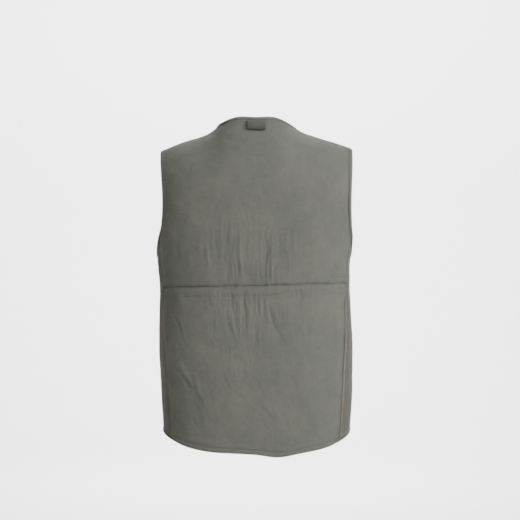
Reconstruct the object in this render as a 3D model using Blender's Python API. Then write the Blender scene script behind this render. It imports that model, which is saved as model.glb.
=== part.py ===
"""Sleeveless vest in brushed cotton with a front zip, in the hollow form that it has when worn.

Metres, +Z up. The back faces +Y, the front faces -Y and the wearer's left is +X. The origin is midway
between the shoulders, level with the points where the shoulder seams meet the neck.

The body is one smooth skin. A point on it has an angle round the body, in degrees from the centre
back (positive towards the wearer's left, 180 at the centre front), and a drop: 0 on the ridge of the
shoulder and 1 where the curve over the shoulder ends in the upright wall. Every cloth piece is a grid
of such points, moved out into its folds and given a wall.
"""

import itertools
import math
from collections import namedtuple

import bmesh
import bpy
from mathutils import Vector

# Cloth and seams
WALL = 0.0018
HEM_WALL = 0.0027
HEM_DEPTH = 0.020
SEAM_GAP = 0.00036
EDGE_STEP = 0.012
BAND_WIDTH = 0.010
BAND_WALL = 0.0010
BAND_GAP = 0.0006
BAND_ROLL = 0.0008

# The cut
NECK_HALF_WIDTH = 0.085
NECK_BACK_DEPTH = 0.0632
NECK_BACK_Z = 0.010
NECK_OVAL = 2.2
NECK_FRONT_Z = -0.105
NECK_SCOOP = 1.6
SHOULDER_TIP_X = 0.2195
WAIST_Z = -0.3605
WAIST_TILT = -0.024
WAIST_LAP = 0.008
CASING_DEPTH = 0.028
CASING_PUFF = 0.0013
CASING_PINCH = 0.0008
CHEST_LINE_Z = -0.258
WELT_TOP_Z = -0.389
WELT_WIDTH = 0.0105
WELT_SETBACK = 0.0005
SCOOP_WIDTH = 0.026
CORNER_SLIDE = 0.15
WELT_WALL = 0.0012

# Centre front zip. Depths are measured in from the outside of the front, heights out from it.
FRONT_EDGE_X = 0.0065
TAPE_INNER_X = 0.0036
TAPE_OUTER_X = 0.0170
TAPE_WALL = 0.0010
SMALL_GAP = 0.0003
CHAIN_HALF_WIDTH = 0.0032
CHAIN_FRONT_DEPTH = 0.0014
CHAIN_WALL = 0.0024
TAPE_TOP_BELOW_NECK = 0.0125
CHAIN_TOP_BELOW_NECK = 0.0175
TAPE_END_ABOVE_HEM = 0.004
BOX_HALF_WIDTH = 0.0033
BOX_HEIGHT = 0.007
BOX_WALL = 0.0032
PLATE_HALF_WIDTH = 0.0045
PLATE_WALL = 0.0011
SLIDER_BELOW = 0.0105
SLIDER_ABOVE = 0.0035
WEDGE_HALF_WIDTH = 0.0015
BAIL_HALF_WIDTH = 0.0011
BAIL_INNER = 0.0022
BAIL_OUTER = 0.0033
BAIL_CLEAR_HEIGHT = 0.0029
BAIL_HEIGHT = 0.0040
PIVOT_UP = -0.0037
PIVOT_OUT = 0.00135
PULL_HALF_WALL = 0.0007
PULL_HALF_WIDTH = 0.0034
PULL_HOLE_HALF_WIDTH = 0.0016
PULL_HOLE_END = 0.0049
PULL_LENGTH = 0.027

# Hanger loop: its section down the back from the neckline, and how far it stands off.
LOOP_X = (-0.019, -0.0095, 0.0, 0.010, 0.020)
LoopPoint = namedtuple("LoopPoint", "down out inner_down inner_out")
LOOP_SECTION = (
    LoopPoint(0.0108, 0.0003, 0.0140, 0.0015),
    LoopPoint(0.0240, 0.0003, 0.0240, 0.0015),
    LoopPoint(0.0362, 0.0003, 0.0356, 0.0015),
    LoopPoint(0.0380, 0.0022, 0.0368, 0.0027),
    LoopPoint(0.0380, 0.0062, 0.0368, 0.0057),
    LoopPoint(0.0362, 0.0086, 0.0355, 0.0075),
    LoopPoint(0.0310, 0.0093, 0.0306, 0.0081),
    LoopPoint(0.0215, 0.0073, 0.0221, 0.0061),
    LoopPoint(0.0108, 0.0028, 0.0146, 0.0029),
)

# Plan of the body: a superellipse at each height, deeper or flatter in front than behind.
SQUARENESS = 2.4
Section = namedtuple("Section", "z half_width back_depth front_depth sway")
SECTIONS = (
    Section(0.06, 0.2360, 0.100, 0.112, 0.0000),
    Section(0.00, 0.2360, 0.108, 0.116, 0.0000),
    Section(-0.06, 0.2360, 0.119, 0.120, 0.0000),
    Section(-0.12, 0.2358, 0.126, 0.124, -0.0008),
    Section(-0.20, 0.2350, 0.129, 0.129, -0.0010),
    Section(-0.24, 0.2302, 0.1285, 0.132, 0.0005),
    Section(-0.29, 0.2226, 0.126, 0.135, 0.0058),
    Section(-0.36, 0.2184, 0.119, 0.138, 0.0043),
    Section(-0.42, 0.2198, 0.122, 0.140, 0.0031),
    Section(-0.49, 0.2226, 0.126, 0.142, 0.0016),
    Section(-0.60, 0.2192, 0.128, 0.142, -0.0004),
    Section(-0.66, 0.2166, 0.127, 0.141, -0.0007),
    Section(-0.74, 0.2130, 0.125, 0.139, 0.0010),
)

# Ridge of the shoulder on either side. Inside the neck it is only the line that the skin aims at.
RidgePoint = namedtuple("RidgePoint", "x left right")
RIDGE = (
    RidgePoint(0.000, 0.0524, 0.0524),
    RidgePoint(0.020, 0.0510, 0.0508),
    RidgePoint(0.040, 0.0455, 0.0440),
    RidgePoint(0.060, 0.0320, 0.0285),
    RidgePoint(0.078, 0.0142, 0.0090),
    RidgePoint(0.085, 0.0065, 0.0010),
    RidgePoint(0.0967, -0.0050, -0.0075),
    RidgePoint(0.112, -0.0158, -0.0148),
    RidgePoint(0.130, -0.0228, -0.0203),
    RidgePoint(0.150, -0.0280, -0.0265),
    RidgePoint(0.170, -0.0345, -0.0330),
    RidgePoint(0.190, -0.0422, -0.0380),
    RidgePoint(0.205, -0.0484, -0.0432),
    RidgePoint(0.2195, -0.0555, -0.0505),
    RidgePoint(0.240, -0.0670, -0.0610),
)
ARCH_AT_CENTRE = 0.190
ARCH_NARROWING = 0.36
LIFT_FADE = 0.10

# Armhole: its back and front edges by height, and the stretch under the arm by angle.
EdgePoint = namedtuple("EdgePoint", "z x")
ARMHOLE_BACK = (
    EdgePoint(-0.0535, SHOULDER_TIP_X),
    EdgePoint(-0.104, 0.2156),
    EdgePoint(-0.158, 0.2118),
    EdgePoint(-0.201, 0.2117),
    EdgePoint(-0.237, 0.2150),
    EdgePoint(-0.248, 0.2166),
)
ARMHOLE_FRONT = (
    EdgePoint(-0.0535, SHOULDER_TIP_X),
    EdgePoint(-0.100, 0.2110),
    EdgePoint(-0.150, 0.2070),
    EdgePoint(-0.200, 0.2080),
    EdgePoint(-0.235, 0.2112),
    EdgePoint(-0.262, 0.2142),
)
UNDERARM_Z = -0.2905
UNDERARM_ANGLE = 91.0

# Side seam, drifting back towards the hem, and the hem itself.
SeamPoint = namedtuple("SeamPoint", "z angle")
SIDE_SEAM = (
    SeamPoint(-0.248, 77.2),
    SeamPoint(-0.300, 76.6),
    SeamPoint(-0.360, 76.0),
    SeamPoint(-0.440, 75.0),
    SeamPoint(-0.490, 73.0),
    SeamPoint(-0.560, 71.0),
    SeamPoint(-0.650, 69.6),
    SeamPoint(-0.740, 69.0),
)
HemPoint = namedtuple("HemPoint", "angle z")
HEM = (
    HemPoint(-180.0, -0.705),
    HemPoint(-120.0, -0.700),
    HemPoint(-88.0, -0.694),
    HemPoint(-72.0, -0.7065),
    HemPoint(-58.0, -0.7215),
    HemPoint(-42.0, -0.7300),
    HemPoint(-22.0, -0.7385),
    HemPoint(0.0, -0.7325),
    HemPoint(22.0, -0.7300),
    HemPoint(42.0, -0.7278),
    HemPoint(58.0, -0.7195),
    HemPoint(72.0, -0.7045),
    HemPoint(88.0, -0.693),
    HemPoint(120.0, -0.700),
    HemPoint(180.0, -0.705),
)

# Folds: a line from its top to its bottom on the front or the back, how far it spreads either side,
# how far it stands out (or sinks in, when negative), and where along it it is deepest, 0 to 1.
Fold = namedtuple("Fold", "x_top z_top x_bottom z_bottom spread height deepest")
UPPER_BACK_FOLDS = (
    Fold(0.183, -0.225, 0.190, -0.300, 0.014, 0.0022, 0.5),
    Fold(0.174, -0.240, 0.172, -0.330, 0.014, -0.0020, 0.5),
    Fold(0.112, -0.262, 0.103, -0.366, 0.020, 0.0022, 0.8),
    Fold(0.070, -0.225, 0.064, -0.366, 0.018, -0.0022, 0.6),
    Fold(0.040, -0.245, 0.034, -0.366, 0.016, 0.0026, 0.85),
    Fold(0.028, -0.300, 0.020, -0.366, 0.013, -0.0026, 0.9),
    Fold(-0.027, -0.240, -0.012, -0.366, 0.013, -0.0028, 0.75),
    Fold(-0.034, -0.225, -0.034, -0.366, 0.014, 0.0026, 0.7),
    Fold(-0.052, -0.230, -0.056, -0.366, 0.014, -0.0020, 0.4),
    Fold(-0.072, -0.230, -0.078, -0.340, 0.016, 0.0018, 0.4),
    Fold(-0.130, -0.270, -0.120, -0.366, 0.020, 0.0014, 0.8),
    Fold(-0.160, -0.240, -0.150, -0.366, 0.020, -0.0014, 0.7),
    Fold(0.150, -0.110, 0.110, -0.230, 0.026, -0.0016, 0.5),
    Fold(-0.150, -0.110, -0.120, -0.220, 0.026, -0.0014, 0.5),
)
LOWER_BACK_FOLDS = (
    Fold(0.200, -0.372, 0.159, -0.492, 0.016, -0.0026, 0.3),
    Fold(0.178, -0.372, 0.148, -0.460, 0.018, 0.0020, 0.3),
    Fold(0.101, -0.366, 0.094, -0.440, 0.018, 0.0022, 0.2),
    Fold(0.067, -0.366, 0.066, -0.440, 0.015, -0.0020, 0.3),
    Fold(0.052, -0.366, 0.040, -0.500, 0.013, -0.0026, 0.25),
    Fold(0.036, -0.366, 0.035, -0.470, 0.012, 0.0028, 0.4),
    Fold(0.025, -0.366, 0.024, -0.500, 0.011, -0.0040, 0.5),
    Fold(0.011, -0.366, 0.010, -0.450, 0.011, 0.0024, 0.4),
    Fold(-0.004, -0.372, -0.003, -0.445, 0.011, -0.0026, 0.5),
    Fold(-0.017, -0.372, -0.018, -0.440, 0.011, -0.0024, 0.4),
    Fold(-0.022, -0.395, -0.060, -0.492, 0.014, -0.0034, 0.5),
    Fold(-0.048, -0.366, -0.080, -0.470, 0.018, 0.0026, 0.4),
    Fold(-0.096, -0.366, -0.099, -0.440, 0.016, -0.0020, 0.4),
    Fold(-0.124, -0.366, -0.130, -0.450, 0.020, 0.0016, 0.3),
    Fold(-0.012, -0.470, 0.036, -0.590, 0.018, -0.0022, 0.5),
    Fold(0.166, -0.530, 0.106, -0.640, 0.022, 0.0030, 0.4),
    Fold(0.150, -0.520, 0.126, -0.640, 0.020, -0.0024, 0.5),
    Fold(-0.032, -0.560, -0.080, -0.690, 0.030, -0.0022, 0.5),
    Fold(-0.095, -0.520, -0.130, -0.700, 0.034, 0.0022, 0.6),
    Fold(0.060, -0.560, 0.050, -0.700, 0.032, 0.0016, 0.7),
)
FRONT_FOLDS = (
    Fold(0.150, -0.300, 0.120, -0.470, 0.026, -0.0030, 0.5),
    Fold(0.178, -0.330, 0.165, -0.540, 0.022, 0.0030, 0.5),
    Fold(0.085, -0.420, 0.070, -0.640, 0.030, -0.0026, 0.5),
    Fold(0.130, -0.500, 0.118, -0.700, 0.030, 0.0028, 0.7),
    Fold(0.170, -0.120, 0.110, -0.220, 0.026, -0.0022, 0.5),
)

# Colours as linear red, green, blue
CLOTH = (0.170, 0.172, 0.150)
BAND = (0.150, 0.152, 0.132)
WELT = (0.215, 0.215, 0.185)
TAPE = (0.060, 0.062, 0.052)
METAL = (0.180, 0.170, 0.150)


# Smooth tables

def reading(table, key):
    """Reads a table at a value of its first column, on a smooth curve through its rows."""
    rows = sorted(table)
    key = min(max(key, rows[0][0]), rows[-1][0])
    last = len(rows) - 1
    k = next(n for n in range(last) if key <= rows[n + 1][0])
    low, high = rows[k], rows[k + 1]
    width = high[0] - low[0]
    t = (key - low[0]) / width

    def slope(n, column):
        before, after = rows[max(n - 1, 0)], rows[min(n + 1, last)]
        return (after[column] - before[column]) / (after[0] - before[0])

    values = [key]
    for column in range(1, len(low)):
        start, end = slope(k, column) * width, slope(k + 1, column) * width
        values.append((2 * t ** 3 - 3 * t ** 2 + 1) * low[column] + (t ** 3 - 2 * t ** 2 + t) * start
                      + (3 * t ** 2 - 2 * t ** 3) * high[column] + (t ** 3 - t ** 2) * end)
    return type(low)(*values)


# The skin

def plan_point(angle, z):
    """Place on the body's plan at a height, before the shoulder curves it in: x, y and the sway."""
    section = reading(SECTIONS, z)
    turn = math.radians(angle)
    depth = section.back_depth if math.cos(turn) > 0 else section.front_depth
    across = abs(math.sin(turn) / section.half_width) ** SQUARENESS
    along = abs(math.cos(turn) / depth) ** SQUARENESS
    radius = (across + along) ** (-1 / SQUARENESS)
    hold = 1.0 if abs(angle) <= 90 else math.sin(turn) ** 2
    return radius * math.sin(turn), radius * math.cos(turn), section.sway * hold


def ridge_z(x):
    """Height of the ridge, without what sets the right shoulder apart from the left."""
    return reading(RIDGE, abs(x)).left


def right_lift(x):
    """How much higher the ridge is on the wearer's right than it is on the left."""
    point = reading(RIDGE, abs(x))
    return point.right - point.left if x < 0 else 0.0


def arch(x):
    """Height over which the skin curves from upright to the ridge of the shoulder."""
    return ARCH_AT_CENTRE - ARCH_NARROWING * abs(x)


def height(angle, drop):
    """Height of the skin at an angle and a drop."""
    z = -0.1
    for _ in range(16):
        x = plan_point(angle, z)[0]
        if abs(drop) < 1:
            below = arch(x) * (1 - math.cos(drop * math.pi / 2))
        else:
            below = arch(x) * (1 + (abs(drop) - 1) * math.pi / 2)
        z = ridge_z(x) + right_lift(x) * max(1 - below / LIFT_FADE, 0.0) - below
    return z


def drop_at(angle, z):
    """Drop of the skin at an angle and a height."""
    x = plan_point(angle, z)[0]
    below, lift = ridge_z(x) - z, right_lift(x)
    if below < LIFT_FADE:
        below = max(below + lift, 0.0) / (1 + lift / LIFT_FADE)
    below /= arch(x)
    return math.acos(1 - below) * 2 / math.pi if below < 1 else 1 + (below - 1) * 2 / math.pi


def skin(angle, drop):
    """Point on the skin."""
    z = height(angle, drop)
    x, y, sway = plan_point(angle, z)
    return Vector((x + sway, y * math.sin(min(drop, 1.0) * math.pi / 2), z))


def skin_normal(angle, drop):
    """Outward direction of the skin."""
    step = 0.002
    across = skin(angle + step * 57.3, drop) - skin(angle - step * 57.3, drop)
    down = skin(angle, drop + step) - skin(angle, drop - step)
    return across.cross(down).normalized()


def angle_at(x, z, front=False):
    """Angle at which the body's plan passes a given x, on the wearer's left."""
    section = reading(SECTIONS, z)
    depth = section.front_depth if front else section.back_depth
    y = depth * (1 - (x / section.half_width) ** SQUARENESS) ** (1 / SQUARENESS)
    angle = math.degrees(math.atan2(x, y))
    return 180 - angle if front else angle


def degrees_of(length, angle, drop):
    """Angle that spans a length along the skin, level, at a place."""
    span = (skin(angle + 0.5, drop) - skin(angle - 0.5, drop)).length
    return length / span


def drop_of(length, angle, drop):
    """Drop that spans a length down the skin at a place."""
    step = 0.01
    span = (skin(angle, drop + step) - skin(angle, drop)).length
    return length * step / span


# Lines of the cut

def waist_z(x):
    return WAIST_Z + WAIST_TILT * x


def hem_z(angle):
    return reading(HEM, angle).z


def armhole_front_z(angle):
    """Height of the armhole's edge under the arm, between the side seam and its front corner."""
    start = reading(SIDE_SEAM, ARMHOLE_BACK[-1].z).angle
    corner = angle_at(ARMHOLE_FRONT[-1].x, ARMHOLE_FRONT[-1].z, front=True)
    if angle <= UNDERARM_ANGLE:
        share, rise = (UNDERARM_ANGLE - angle) / (UNDERARM_ANGLE - start), ARMHOLE_BACK[-1].z - UNDERARM_Z
    else:
        share, rise = (angle - UNDERARM_ANGLE) / (corner - UNDERARM_ANGLE), ARMHOLE_FRONT[-1].z - UNDERARM_Z
    return UNDERARM_Z + rise * share ** 2


def neck_back_drop(x):
    """Drop of the neckline behind, which is an oval seen from above."""
    y = NECK_BACK_DEPTH * max(1 - (x / NECK_HALF_WIDTH) ** NECK_OVAL, 0.0) ** (1 / NECK_OVAL)
    _, depth, _ = plan_point(angle_at(x, NECK_BACK_Z), NECK_BACK_Z)
    return math.asin(y / depth) * 2 / math.pi


def neck_back_z(x):
    return height(angle_at(x, NECK_BACK_Z), neck_back_drop(x))


def neck_back_angle(drop):
    """Angle of the back neckline at a drop."""
    angle = angle_at(NECK_HALF_WIDTH, 0.0)
    for _ in range(12):
        z = height(angle, drop)
        y = plan_point(angle, z)[1] * math.sin(drop * math.pi / 2)
        x = NECK_HALF_WIDTH * max(1 - (y / NECK_BACK_DEPTH) ** NECK_OVAL, 0.0) ** (1 / NECK_OVAL)
        angle = angle_at(x, z)
    return angle


# Relief

def fold_relief(folds, x, z):
    """How far the folds carry the cloth out at a place on the front or the back."""
    total = 0.0
    for fold in folds:
        if not fold.z_bottom < z < fold.z_top:
            continue
        down = (fold.z_top - z) / (fold.z_top - fold.z_bottom)
        middle = fold.x_top + (fold.x_bottom - fold.x_top) * down
        aside = abs(x - middle) / fold.spread
        if aside < 1:
            reach = down / fold.deepest if down < fold.deepest else (1 - down) / (1 - fold.deepest)
            total += fold.height * (0.5 + 0.5 * math.cos(math.pi * aside)) * math.sin(reach * math.pi / 2) ** 2
    return total


# Meshes

def material(name, colour, roughness, metallic=0.0):
    made = bpy.data.materials.new(name)
    made.use_nodes = True
    shader = made.node_tree.nodes["Principled BSDF"]
    shader.inputs["Base Color"].default_value = (*colour, 1.0)
    shader.inputs["Roughness"].default_value = roughness
    shader.inputs["Metallic"].default_value = metallic
    return made


def add_object(name, bm, collection, finish):
    """Closes a bmesh into a named object with its faces pointing out."""
    bmesh.ops.triangulate(bm, faces=bm.faces[:], quad_method="FIXED", ngon_method="BEAUTY")
    bmesh.ops.recalc_face_normals(bm, faces=bm.faces[:])
    mesh = bpy.data.meshes.new(name)
    bm.to_mesh(mesh)
    bm.free()
    mesh.materials.append(material(name + "_finish", *finish))
    made = bpy.data.objects.new(name, mesh)
    collection.objects.link(made)
    return made


class Cloth:
    """A grid of cloth points: each has its outer place, its inner place and the skin's direction."""

    def __init__(self):
        self.outer = {}
        self.inner = {}
        self.normal = {}

    def place(self, key, angle, drop, out=0.0, wall=WALL):
        normal = skin_normal(angle, drop)
        base = skin(angle, drop)
        self.outer[key] = base + normal * out
        self.inner[key] = base + normal * (out - wall)
        self.normal[key] = normal

    def wall_mesh(self, quads):
        """Closes the grid's quads into a wall: outside, inside and the rim round its border."""
        bm = bmesh.new()
        top = {key: bm.verts.new(point) for key, point in self.outer.items()}
        under = {key: bm.verts.new(point) for key, point in self.inner.items()}
        uses = {}
        for a, b, c, d in quads:
            bm.faces.new([top[a], top[b], top[c], top[d]])
            bm.faces.new([under[a], under[d], under[c], under[b]])
            for edge in ((a, b), (b, c), (c, d), (d, a)):
                uses.setdefault(frozenset(edge), []).append(edge)
        for sides in uses.values():
            if len(sides) == 1:
                start, end = sides[0]
                bm.faces.new([top[end], top[start], under[start], under[end]])
        return bm


def loft(rings):
    """Skins a run of rings that have the same number of points, with flat ends."""
    bm = bmesh.new()
    loops = [[bm.verts.new(point) for point in ring] for ring in rings]
    count = len(loops[0])
    for one, two in zip(loops, loops[1:]):
        for k in range(count):
            nxt = (k + 1) % count
            bm.faces.new([one[k], one[nxt], two[nxt], two[k]])
    bm.faces.new(loops[0])
    bm.faces.new(loops[-1][::-1])
    return bm


def tube(outside, inside):
    """Skins two runs of rings, one inside the other, into a strap that closes on itself."""
    bm = bmesh.new()
    outer = [[bm.verts.new(point) for point in ring] for ring in outside]
    inner = [[bm.verts.new(point) for point in ring] for ring in inside]
    count = len(outer[0])
    for k in range(count):
        nxt = (k + 1) % count
        for loops in (outer, inner):
            for one, two in zip(loops, loops[1:]):
                bm.faces.new([one[k], one[nxt], two[nxt], two[k]])
        for end in (0, -1):
            bm.faces.new([outer[end][k], outer[end][nxt], inner[end][nxt], inner[end][k]])
    return bm


Block = namedtuple("Block", "x_low x_high up_low up_high out_low out_high")


def block_mesh(frame, blocks):
    """Joins blocks that touch into one closed body: each is a box in the frame's own directions."""
    cuts = [sorted({value for block in blocks for value in block[axis:axis + 2]}) for axis in (0, 2, 4)]
    sizes = [len(values) - 1 for values in cuts]
    filled = set()
    for cell in itertools.product(*(range(size) for size in sizes)):
        middle = [(cuts[axis][n] + cuts[axis][n + 1]) / 2 for axis, n in enumerate(cell)]
        if any(all(block[2 * axis] < middle[axis] < block[2 * axis + 1] for axis in range(3)) for block in blocks):
            filled.add(cell)
    bm = bmesh.new()
    corners = {}

    def corner(key):
        if key not in corners:
            x, up, out = (cuts[axis][n] for axis, n in enumerate(key))
            corners[key] = bm.verts.new(frame.origin + Vector((x, 0, 0)) + frame.up * up + frame.out * out)
        return corners[key]

    for cell in sorted(filled):
        for axis in range(3):
            for end in (0, 1):
                beside = list(cell)
                beside[axis] += 2 * end - 1
                if tuple(beside) in filled:
                    continue
                face = []
                for one, two in ((0, 0), (1, 0), (1, 1), (0, 1)):
                    key = list(cell)
                    key[axis] += end
                    key[(axis + 1) % 3] += one
                    key[(axis + 2) % 3] += two
                    face.append(corner(tuple(key)))
                bm.faces.new(face)
    return bm


# Grids of the panels

Row = namedtuple("Row", "below_seam out")
LOWER_HEAD = (
    Row(-WAIST_LAP, -WALL - SEAM_GAP),
    Row(0.0, -WALL - SEAM_GAP),
    Row(0.0035, -0.0004),
    Row(0.014, CASING_PUFF),
    Row(CASING_DEPTH, -CASING_PINCH),
    Row(CASING_DEPTH + 0.009, 0.0),
)
NECK_COLUMNS_BACK = 8
NECK_COLUMNS_FRONT = 3
SHOULDER_X = (0.097, 0.114, 0.136, 0.160, 0.184, 0.2075, SHOULDER_TIP_X)
UNDERARM_COLUMNS = 7
BACK_LAST = NECK_COLUMNS_BACK + len(SHOULDER_X)
NECK_CORNER_BACK_X = 0.066
BACK_MIDDLE_Z = -0.088
FRONT_MIDDLE_Z = -0.150
CHEST_ROWS = 5
SKIRT_ROWS = 18
BACK_LOW_ROWS = 13
BACK_HIGH_ROWS = 3
FRONT_LOW_ROWS = 8
FRONT_HIGH_ROWS = 6
Front = namedtuple("Front", "cloth quads neck corner last line neck_row top_row")
Back = namedtuple("Back", "cloth quads neck last base neck_row top_row")


def back_columns():
    """The x of each column of the back at the top, from the centre to the shoulder tip."""
    neck = [NECK_HALF_WIDTH * k / NECK_COLUMNS_BACK for k in range(NECK_COLUMNS_BACK + 1)]
    return neck + list(SHOULDER_X)


def seam_angle(z, gap):
    """Angle of a panel's edge at the side seam, half the seam's gap back from the seam itself."""
    angle = reading(SIDE_SEAM, z).angle
    return angle + degrees_of(gap, angle, drop_at(angle, z))


def back_edge_angle(z):
    """Angle of the back's edge at a height: the side seam below the armhole, the armhole above."""
    top = ARMHOLE_BACK[-1].z
    if z <= top + 1e-9:
        return seam_angle(z, -SEAM_GAP / 2)
    return angle_at(reading(ARMHOLE_BACK, z).x, z)


def back_row(cloth, j, level, wall, relief):
    """Places one row of the back below the armhole: level gives a drop from an angle."""
    last = BACK_LAST
    tops = [angle_at(x, ridge_z(x)) for x in back_columns()]
    for side in (-1, 1):
        edge = reading(SIDE_SEAM, WAIST_Z).angle
        for _ in range(4):
            edge_z = height(edge, level(side * edge))
            edge = back_edge_angle(edge_z)
        inset = edge - degrees_of(EDGE_STEP, edge, drop_at(edge, edge_z))
        for i in range(0 if side > 0 else 1, last + 1):
            angle = side * (edge if i == last else inset * tops[i] / tops[last - 1])
            drop = level(angle)
            point = skin(angle, drop)
            cloth.place((side * i, j), angle, drop, relief(point.x, point.z) * calm(i, last), wall)


def calm(i, last):
    """Share of the folds that reaches a column: none at a panel's edge and at the line next to it."""
    return min(max((last - 1 - i) / 1.5, 0.0), 1.0)


Yoke = namedtuple("Yoke", "front neck corner base low_rows high_rows bases neck_points middle neck_edge tops")


def yoke_rows(yoke, place):
    """Rows of a panel beside the armhole: up to the neck's corner, then up the strap to the shoulder."""
    inward = 1 if yoke.front else -1
    armhole = ARMHOLE_FRONT if yoke.front else ARMHOLE_BACK
    neck, corner = yoke.neck, yoke.corner

    def arm_edge(z):
        return angle_at(reading(armhole, z).x, z, yoke.front)

    def stepped(angle, drop, towards):
        return angle + towards * degrees_of(EDGE_STEP, angle, drop)

    middle_angle, middle_drop = yoke.middle
    scoop_angle, scoop_drop = yoke.neck_points[neck]
    near_neck = stepped(scoop_angle, scoop_drop, -inward)
    near_arm = stepped(middle_angle, middle_drop, inward)

    def middle(i):
        """Angle and drop of a column in the row that holds the neck's corner."""
        if i <= neck:
            return yoke.neck_points[i]
        drop = scoop_drop + (middle_drop - scoop_drop) * (i - neck) / (corner - neck)
        if i == corner:
            return middle_angle, drop
        return near_neck + (near_arm - near_neck) * (i - neck - 1) / (corner - neck - 2), drop

    for step in range(1, yoke.low_rows + 1):
        final = step == yoke.low_rows
        share = 1.0 if final else step / (yoke.low_rows - 1)
        for i in range(corner + 1):
            (start_angle, start), (angle, end) = yoke.bases[i], middle(i)
            if not final:
                end += drop_of(EDGE_STEP, angle, end)
            drop = start + (end - start) * share
            angle = start_angle + (angle - start_angle) * share
            if i >= corner - 1 and not final:
                edge_end = middle_drop + drop_of(EDGE_STEP, middle_angle, middle_drop)
                edge_drop = yoke.bases[corner][1] + (edge_end - yoke.bases[corner][1]) * share
                edge_z = height(middle_angle, edge_drop)
                angle = arm_edge(edge_z)
                if i < corner:
                    angle = stepped(angle, edge_drop, inward)
            if i == 0 and yoke.front:
                angle = angle_at(FRONT_EDGE_X, height(angle, drop), True)
            place(i, yoke.base + step, angle, drop)

    for step in range(1, yoke.high_rows + 1):
        final = step == yoke.high_rows
        share = 1.0 if final else step / (yoke.high_rows - 1)

        def row_drop(i):
            end = 0.0 if final else drop_of(EDGE_STEP, yoke.tops[i - neck], 0.0)
            return middle(i)[1] + (end - middle(i)[1]) * share

        inner = yoke.neck_edge(row_drop(neck))
        outer = arm_edge(height(yoke.tops[-1], row_drop(corner)))
        near, far = stepped(inner, row_drop(neck), -inward), stepped(outer, row_drop(corner), inward)
        for i in range(neck, corner + 1):
            even = (i - neck - 1) / (corner - neck - 2)
            fitted = (yoke.tops[i - neck] - yoke.tops[1]) / (yoke.tops[-2] - yoke.tops[1])
            angle = near + (far - near) * (even + (fitted - even) * share)
            angle = inner if i == neck else outer if i == corner else angle
            place(i, yoke.base + yoke.low_rows + step, yoke.tops[i - neck] if final else angle, row_drop(i))


def upper_back():
    """The upper back, from the waist seam to the neckline and the shoulder seams."""
    cloth = Cloth()
    last, neck, base = BACK_LAST, NECK_COLUMNS_BACK, CHEST_ROWS
    seam_top = ARMHOLE_BACK[-1].z

    def relief(x, z):
        return fold_relief(UPPER_BACK_FOLDS, x, z)

    for j in range(CHEST_ROWS + 1):
        def level(angle):
            low = waist_z(skin(angle, drop_at(angle, WAIST_Z)).x)
            start = low if j == 0 else low + WAIST_LAP
            return drop_at(angle, start + (seam_top - start) * max(j - 1, 0) / (CHEST_ROWS - 1))

        back_row(cloth, j, level, WALL, relief)

    def place(i, j, angle, drop):
        for side in (-1, 1) if i else (1,):
            point = skin(side * angle, drop)
            cloth.place((side * i, j), side * angle, drop, relief(point.x, point.z) * calm(i, last))

    edge_start = back_edge_angle(seam_top)
    inset_start = edge_start - degrees_of(EDGE_STEP, edge_start, drop_at(edge_start, seam_top))
    tops = [angle_at(x, ridge_z(x)) for x in back_columns()]
    bases = [edge_start if i == last else inset_start * tops[i] / tops[last - 1] for i in range(last + 1)]
    middle_angle = angle_at(reading(ARMHOLE_BACK, BACK_MIDDLE_Z).x, BACK_MIDDLE_Z)
    neck_x = [NECK_CORNER_BACK_X * i / neck for i in range(neck + 1)]
    yoke_rows(Yoke(
        front=False, neck=neck, corner=last, base=base, low_rows=BACK_LOW_ROWS, high_rows=BACK_HIGH_ROWS,
        bases=[(angle, drop_at(angle, seam_top)) for angle in bases],
        neck_points=[(angle_at(x, neck_back_z(x)), neck_back_drop(x)) for x in neck_x],
        middle=(middle_angle, drop_at(middle_angle, BACK_MIDDLE_Z)),
        neck_edge=neck_back_angle, tops=tops[neck:],
    ), place)

    neck_row = base + BACK_LOW_ROWS
    top_row = neck_row + BACK_HIGH_ROWS
    pull_back_from_ridge(cloth, [(side * i, top_row) for side in (-1, 1) for i in range(neck, last + 1)], 1)
    quads = []
    for j in range(top_row):
        for i in range(-last, last):
            if j < neck_row or min(abs(i), abs(i + 1)) >= neck:
                quads.append(((i, j), (i + 1, j), (i + 1, j + 1), (i, j + 1)))
    return Back(cloth, quads, neck, last, base, neck_row, top_row)


def pull_back_from_ridge(cloth, keys, side):
    """Leaves half a seam's gap at the shoulder seam."""
    for key in keys:
        for points in (cloth.outer, cloth.inner):
            points[key].y += side * SEAM_GAP / 2


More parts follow.
